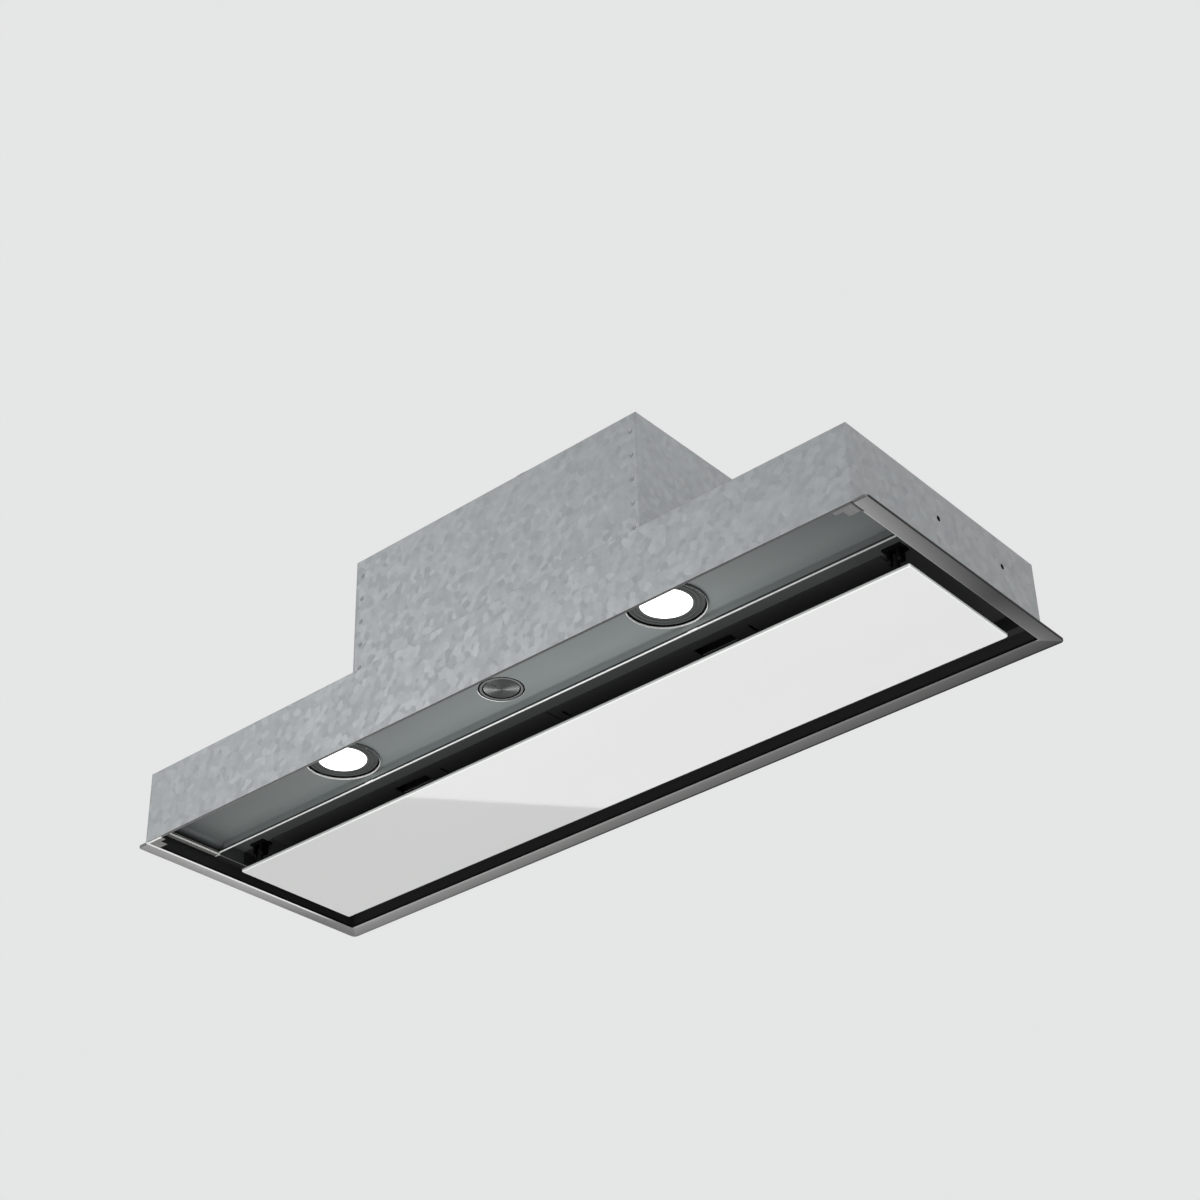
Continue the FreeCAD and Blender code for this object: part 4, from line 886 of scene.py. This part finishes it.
def makePadFinish(setup):
    material, tree, shader = startFinish("filterWire", setup["strand"], metallic=1.0)
    fine = addGrain(tree, shader, setup, 3.0)
    tone = addMix(tree, addRange(tree, fine, 0, 1), setup["shade"], setup["strand"])
    tree.links.new(tone, shader.inputs["Base Color"])
    return material


finishes = {name: makePlainFinish(name, setup) for name, setup in plainFinishes.items()}
finishes["brushedTrim"] = makeTrimFinish(trimFinish)
finishes["greyPanel"] = makePanelFinish(panelFinish)
finishes["surroundEnamel"] = makeSurroundFinish(surroundFinish)
finishes["galvanised"] = makeZincFinish(zincFinish)
finishes["whiteGlass"] = makeGlassFinish(glassFinish)
finishes["litDiffuser"] = makeLensFinish(lensFinish)
finishes["spunMetal"] = makeKnobFinish(knobFinish)
finishes["filterWire"] = makePadFinish(padFinish)

slotFinish = {
    "brushed_steel": "brushedTrim",
    "black_steel": "blackEnamel",
    "grey_panel": "greyPanel",
    "galvanised": "galvanised",
    "bezel_plastic": "bezelPlastic",
    "lamp_diffuser": "litDiffuser",
    "spun_metal": "spunMetal",
    "white_glass": "whiteGlass",
    "filter_wire": "filterWire",
    "black_plastic": "blackPlastic",
    "pin_steel": "pinSteel",
    "heat_sink": "heatSink",
    "circuit_board": "boardGreen",
    "grey_plastic": "greyPlastic",
    "motor_paint": "motorPaint",
}
# Nodes whose finish differs from their slot's
nodeFinish = {
    "suction_frame": "surroundEnamel",
    "filter_frame_left": "filterEnamel",
    "filter_frame_right": "filterEnamel",
    "filter_latch_left": "latchPlastic",
    "filter_latch_right": "latchPlastic",
    "knob_bezel": "knobRing",
    "catch_left": "catchPlastic",
    "catch_right": "catchPlastic",
}


def dressNodes():
    for subpart in frame["record"]["subparts"]:
        node = cadNodes[subpart["node"]]
        name = nodeFinish.get(subpart["node"], slotFinish[subpart["material_slot"]])
        for slot in node.material_slots:
            slot.material = finishes[name]


dressNodes()
print("finishes on", len(cadNodes), "nodes")


# Modelling helpers: operators act on what is selected, so each step selects its own faces or edges
def selectOnly(*pieces):
    deselectAll()
    for piece in pieces:
        piece.select_set(True)
    bpy.context.view_layer.objects.active = pieces[0]


def editParts(piece, kind, test):
    selectOnly(piece)
    bpy.ops.object.mode_set(mode="EDIT")
    bpy.ops.mesh.select_mode(type=kind)
    bpy.ops.mesh.select_all(action="DESELECT")
    bpy.ops.object.mode_set(mode="OBJECT")
    parts = piece.data.polygons if kind == "FACE" else piece.data.edges
    for part in parts:
        part.select = test(part)
    bpy.ops.object.mode_set(mode="EDIT")


def endEdit():
    bpy.ops.object.mode_set(mode="OBJECT")


facingShare = 0.9  # least vertical share of a normal that counts as up or down


def facesUp(face):
    return face.normal.z > facingShare


def facesDown(face):
    return face.normal.z < -facingShare


def placeApplied(piece):
    selectOnly(piece)
    bpy.ops.object.transform_apply(location=True, rotation=True, scale=True)


def applyModifier(piece, name):
    selectOnly(piece)
    bpy.ops.object.modifier_apply(modifier=name)


# Block and disc to start from, each standing on z = 0
def startBlock(size):
    deselectAll()
    bpy.ops.mesh.primitive_cube_add(size=1, location=(0, 0, size[2] / 2))
    block = bpy.context.object
    block.scale = size
    placeApplied(block)
    return block


def startDisc(sides, radius, height):
    deselectAll()
    middle = (0, 0, height / 2)
    bpy.ops.mesh.primitive_cylinder_add(vertices=sides, radius=radius, depth=height, location=middle)
    disc = bpy.context.object
    placeApplied(disc)
    return disc


def copyTo(piece, matrix):
    copy = piece.copy()
    copy.data = piece.data.copy()
    copy.data.transform(matrix)
    bpy.context.scene.collection.objects.link(copy)
    return copy


def joinCopies(name, pattern, matrices):
    copies = [copyTo(pattern, matrix) for matrix in matrices]
    selectOnly(*copies)
    bpy.ops.object.join()
    copies[0].name = name
    return copies[0]


def finishPiece(piece, finish, body):
    piece.data.materials.clear()
    piece.data.materials.append(finishes[finish])
    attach(piece, body)


def smoothPiece(piece, angle):
    selectOnly(piece)
    bpy.ops.object.shade_smooth_by_angle(angle=math.radians(angle))


# Pan-head screw with a cross recess, standing on z = 0 with its shank below
screwSetup = {
    "headRadius": 3.8 * mm,
    "headHeight": 2.2 * mm,
    "shankRadius": 1.75 * mm,
    "shankLength": 6.0 * mm,
    "crown": 1.0 * mm,
    "crownSteps": 4,
    "recessLength": 4.6 * mm,
    "recessWidth": 1.0 * mm,
    "recessDepth": 1.2 * mm,
    "sides": 28,
    "smoothing": 35,
}
screwRows = {"casing_screws": (2, 3), "blower_screws": (2, 2), "collar_screws": (2, 2)}
lidScrewSetup = {"inset": 7.0 * mm, "size": 0.7}


def modelScrew(setup):
    screw = startDisc(setup["sides"], setup["headRadius"], setup["headHeight"])
    places = screw.data.vertices
    middle = setup["headHeight"] / 2
    editParts(screw, "EDGE", lambda edge: all(places[v].co.z > middle for v in edge.vertices))
    bpy.ops.mesh.bevel(offset=setup["crown"], segments=setup["crownSteps"])
    endEdit()
    editParts(screw, "FACE", facesDown)
    bpy.ops.mesh.inset(thickness=setup["headRadius"] - setup["shankRadius"])
    bpy.ops.mesh.extrude_region_move(TRANSFORM_OT_translate={"value": (0, 0, -setup["shankLength"])})
    endEdit()
    for turn in (0, 90):
        deselectAll()
        bpy.ops.mesh.primitive_cube_add(size=1, location=(0, 0, setup["headHeight"]))
        cutter = bpy.context.object
        cutter.scale = (setup["recessLength"], setup["recessWidth"], 2 * setup["recessDepth"])
        cutter.rotation_euler = (0, 0, math.radians(turn))
        placeApplied(cutter)
        recess = screw.modifiers.new("recess", "BOOLEAN")
        recess.operation = "DIFFERENCE"
        recess.object = cutter
        applyModifier(screw, "recess")
        bpy.data.objects.remove(cutter)
    smoothPiece(screw, setup["smoothing"])
    return screw


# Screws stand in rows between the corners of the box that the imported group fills
def screwPlaces(node, rows, columns):
    low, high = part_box(node)
    inset = screwSetup["headRadius"]
    seat = high[2] - screwSetup["headHeight"]
    places = []
    for row in range(rows):
        for column in range(columns):
            x = low[0] + inset + (high[0] - low[0] - 2 * inset) * row / (rows - 1)
            y = low[1] + inset + (high[1] - low[1] - 2 * inset) * column / (columns - 1)
            places.append(Matrix.Translation((x, y, seat)))
    return places


def lidScrewPlaces(setup):
    low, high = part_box("terminal_lid")
    inset = setup["inset"]
    shrink = Matrix.Scale(setup["size"], 4)
    xs = (low[0] + inset, high[0] - inset)
    ys = (low[1] + inset, high[1] - inset)
    return [Matrix.Translation((x, y, high[2])) @ shrink for x in xs for y in ys]


def makeScrews():
    pattern = modelScrew(screwSetup)
    for node, (rows, columns) in screwRows.items():
        screws = joinCopies(node + "Heads", pattern, screwPlaces(node, rows, columns))
        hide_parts(node)
        finishPiece(screws, "pinSteel", "housing")
    lidScrews = joinCopies("lidScrews", pattern, lidScrewPlaces(lidScrewSetup))
    finishPiece(lidScrews, "pinSteel", "housing")
    bpy.data.objects.remove(pattern)


makeScrews()
print("screws modelled")


# Black expanded-metal sheets in the filters' lower openings
coverSetup = {
    "meshLength": 9.0 * mm,
    "meshShare": 0.5,
    "strand": 0.75 * mm,
    "lip": 8.4 * mm,
    "frontLip": 37.0 * mm,
    "rise": 0.5 * mm,
}


def makeFilterCover(setup, side):
    padLow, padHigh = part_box("filter_mesh_" + side)
    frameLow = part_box("filter_frame_" + side)[0]
    low = Vector((padLow[0] + setup["lip"], frameLow[1] + setup["frontLip"], frameLow[2] + setup["rise"]))
    high = Vector((padHigh[0] - setup["lip"], padHigh[1] - setup["lip"], low.z))
    reach = (high.x - low.x) + (high.y - low.y) / setup["meshShare"]
    cells = math.ceil(reach / setup["meshLength"]) + 2
    deselectAll()
    size = cells * setup["meshLength"] / math.sqrt(2)
    bpy.ops.mesh.primitive_grid_add(x_subdivisions=cells, y_subdivisions=cells, size=size)
    cover = bpy.context.object
    cover.name = "filterCover" + side.capitalize()
    cover.rotation_euler = (0, 0, math.radians(45))
    placeApplied(cover)
    cover.scale = (1, setup["meshShare"], 1)
    cover.location = (low + high) / 2
    placeApplied(cover)
    for corner, normal in ((low, (-1, 0, 0)), (low, (0, -1, 0)), (high, (1, 0, 0)), (high, (0, 1, 0))):
        editParts(cover, "FACE", lambda face: True)
        bpy.ops.mesh.bisect(plane_co=corner, plane_no=normal, clear_outer=True)
        endEdit()
    wire = cover.modifiers.new("strands", "WIREFRAME")
    wire.thickness = setup["strand"]
    wire.use_even_offset = False
    applyModifier(cover, "strands")
    finishPiece(cover, "blackEnamel", "housing")


for side in ("left", "right"):
    makeFilterCover(coverSetup, side)
print("filter covers modelled")


# Spot welds along the folds of the casing's rear wall and the blower box
weldSetup = {
    "radius": 2.6 * mm,
    "height": 0.35 * mm,
    "sides": 14,
    "ringShare": 0.3,
    "dishShare": 0.6,
    "smoothing": 50,
    "fromFold": 7.0 * mm,
    "fromTop": 14.0 * mm,
    "fromFoot": 12.0 * mm,
    "pitch": 27.0 * mm,
}


def modelWeld(setup):
    weld = startDisc(setup["sides"], setup["radius"], setup["height"])
    ring = setup["radius"] * setup["ringShare"]
    editParts(weld, "FACE", facesUp)
    bpy.ops.mesh.inset(thickness=ring, depth=0)
    bpy.ops.mesh.inset(thickness=ring, depth=-setup["height"] * setup["dishShare"])
    endEdit()
    smoothPiece(weld, setup["smoothing"])
    return weld


# Two upright rows on the wall at y, turned to face away from it
def weldRow(setup, node, y, turn):
    low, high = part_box(node)
    rows = []
    count = int((high[2] - low[2] - setup["fromTop"] - setup["fromFoot"]) / setup["pitch"]) + 1
    for x in (low[0] + setup["fromFold"], high[0] - setup["fromFold"]):
        for index in range(count):
            z = low[2] + setup["fromFoot"] + index * setup["pitch"]
            rows.append(Matrix.Translation((x, y, z)) @ Matrix.Rotation(math.radians(turn), 4, "X"))
    return rows


def makeWelds(setup):
    pattern = modelWeld(setup)
    blowerLow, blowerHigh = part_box("blower_end_left")
    rows = {
        "casingWelds": weldRow(setup, "casing_wrap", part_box("casing_wrap")[1][1], -90),
        "blowerWelds": weldRow(setup, "blower_wrap", blowerHigh[1], -90)
        + weldRow(setup, "blower_wrap", blowerLow[1], 90),
    }
    for name, places in rows.items():
        welds = joinCopies(name, pattern, places)
        finishPiece(welds, "galvanised", "housing")
    bpy.data.objects.remove(pattern)


makeWelds(weldSetup)
print("welds modelled")


# Pressed beads that stiffen the sheet behind the glass
beadSetup = {
    "length": 660.0 * mm,
    "width": 9.0 * mm,
    "height": 2.2 * mm,
    "endShare": 0.49,
    "endSteps": 6,
    "crownShare": 0.7,
    "crownSteps": 3,
    "smoothing": 40,
    "sheet": 1.0 * mm,
    "shares": (0.22, 0.42, 0.62),  # of the sheet's depth, from its front
}


def modelBead(setup):
    bead = startBlock((setup["length"], setup["width"], setup["height"]))
    places = bead.data.vertices
    middle = setup["height"] / 2
    editParts(bead, "EDGE", lambda edge: len({places[v].co.z > middle for v in edge.vertices}) == 2)
    bpy.ops.mesh.bevel(offset=setup["width"] * setup["endShare"], segments=setup["endSteps"])
    endEdit()
    editParts(bead, "FACE", facesUp)
    bpy.ops.mesh.region_to_loop()
    bpy.ops.mesh.bevel(offset=setup["height"] * setup["crownShare"], segments=setup["crownSteps"])
    endEdit()
    smoothPiece(bead, setup["smoothing"])
    return bead


def makeBeads(setup):
    pattern = modelBead(setup)
    low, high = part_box("panel_carrier")
    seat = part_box("glass_panel")[1][2] + setup["sheet"]
    depth = high[1] - low[1]
    places = [Matrix.Translation((0, low[1] + share * depth, seat)) for share in setup["shares"]]
    beads = joinCopies("carrierBeads", pattern, places)
    finishPiece(beads, "blackEnamel", "panel")
    bpy.data.objects.remove(pattern)


makeBeads(beadSetup)
print("carrier beads modelled")
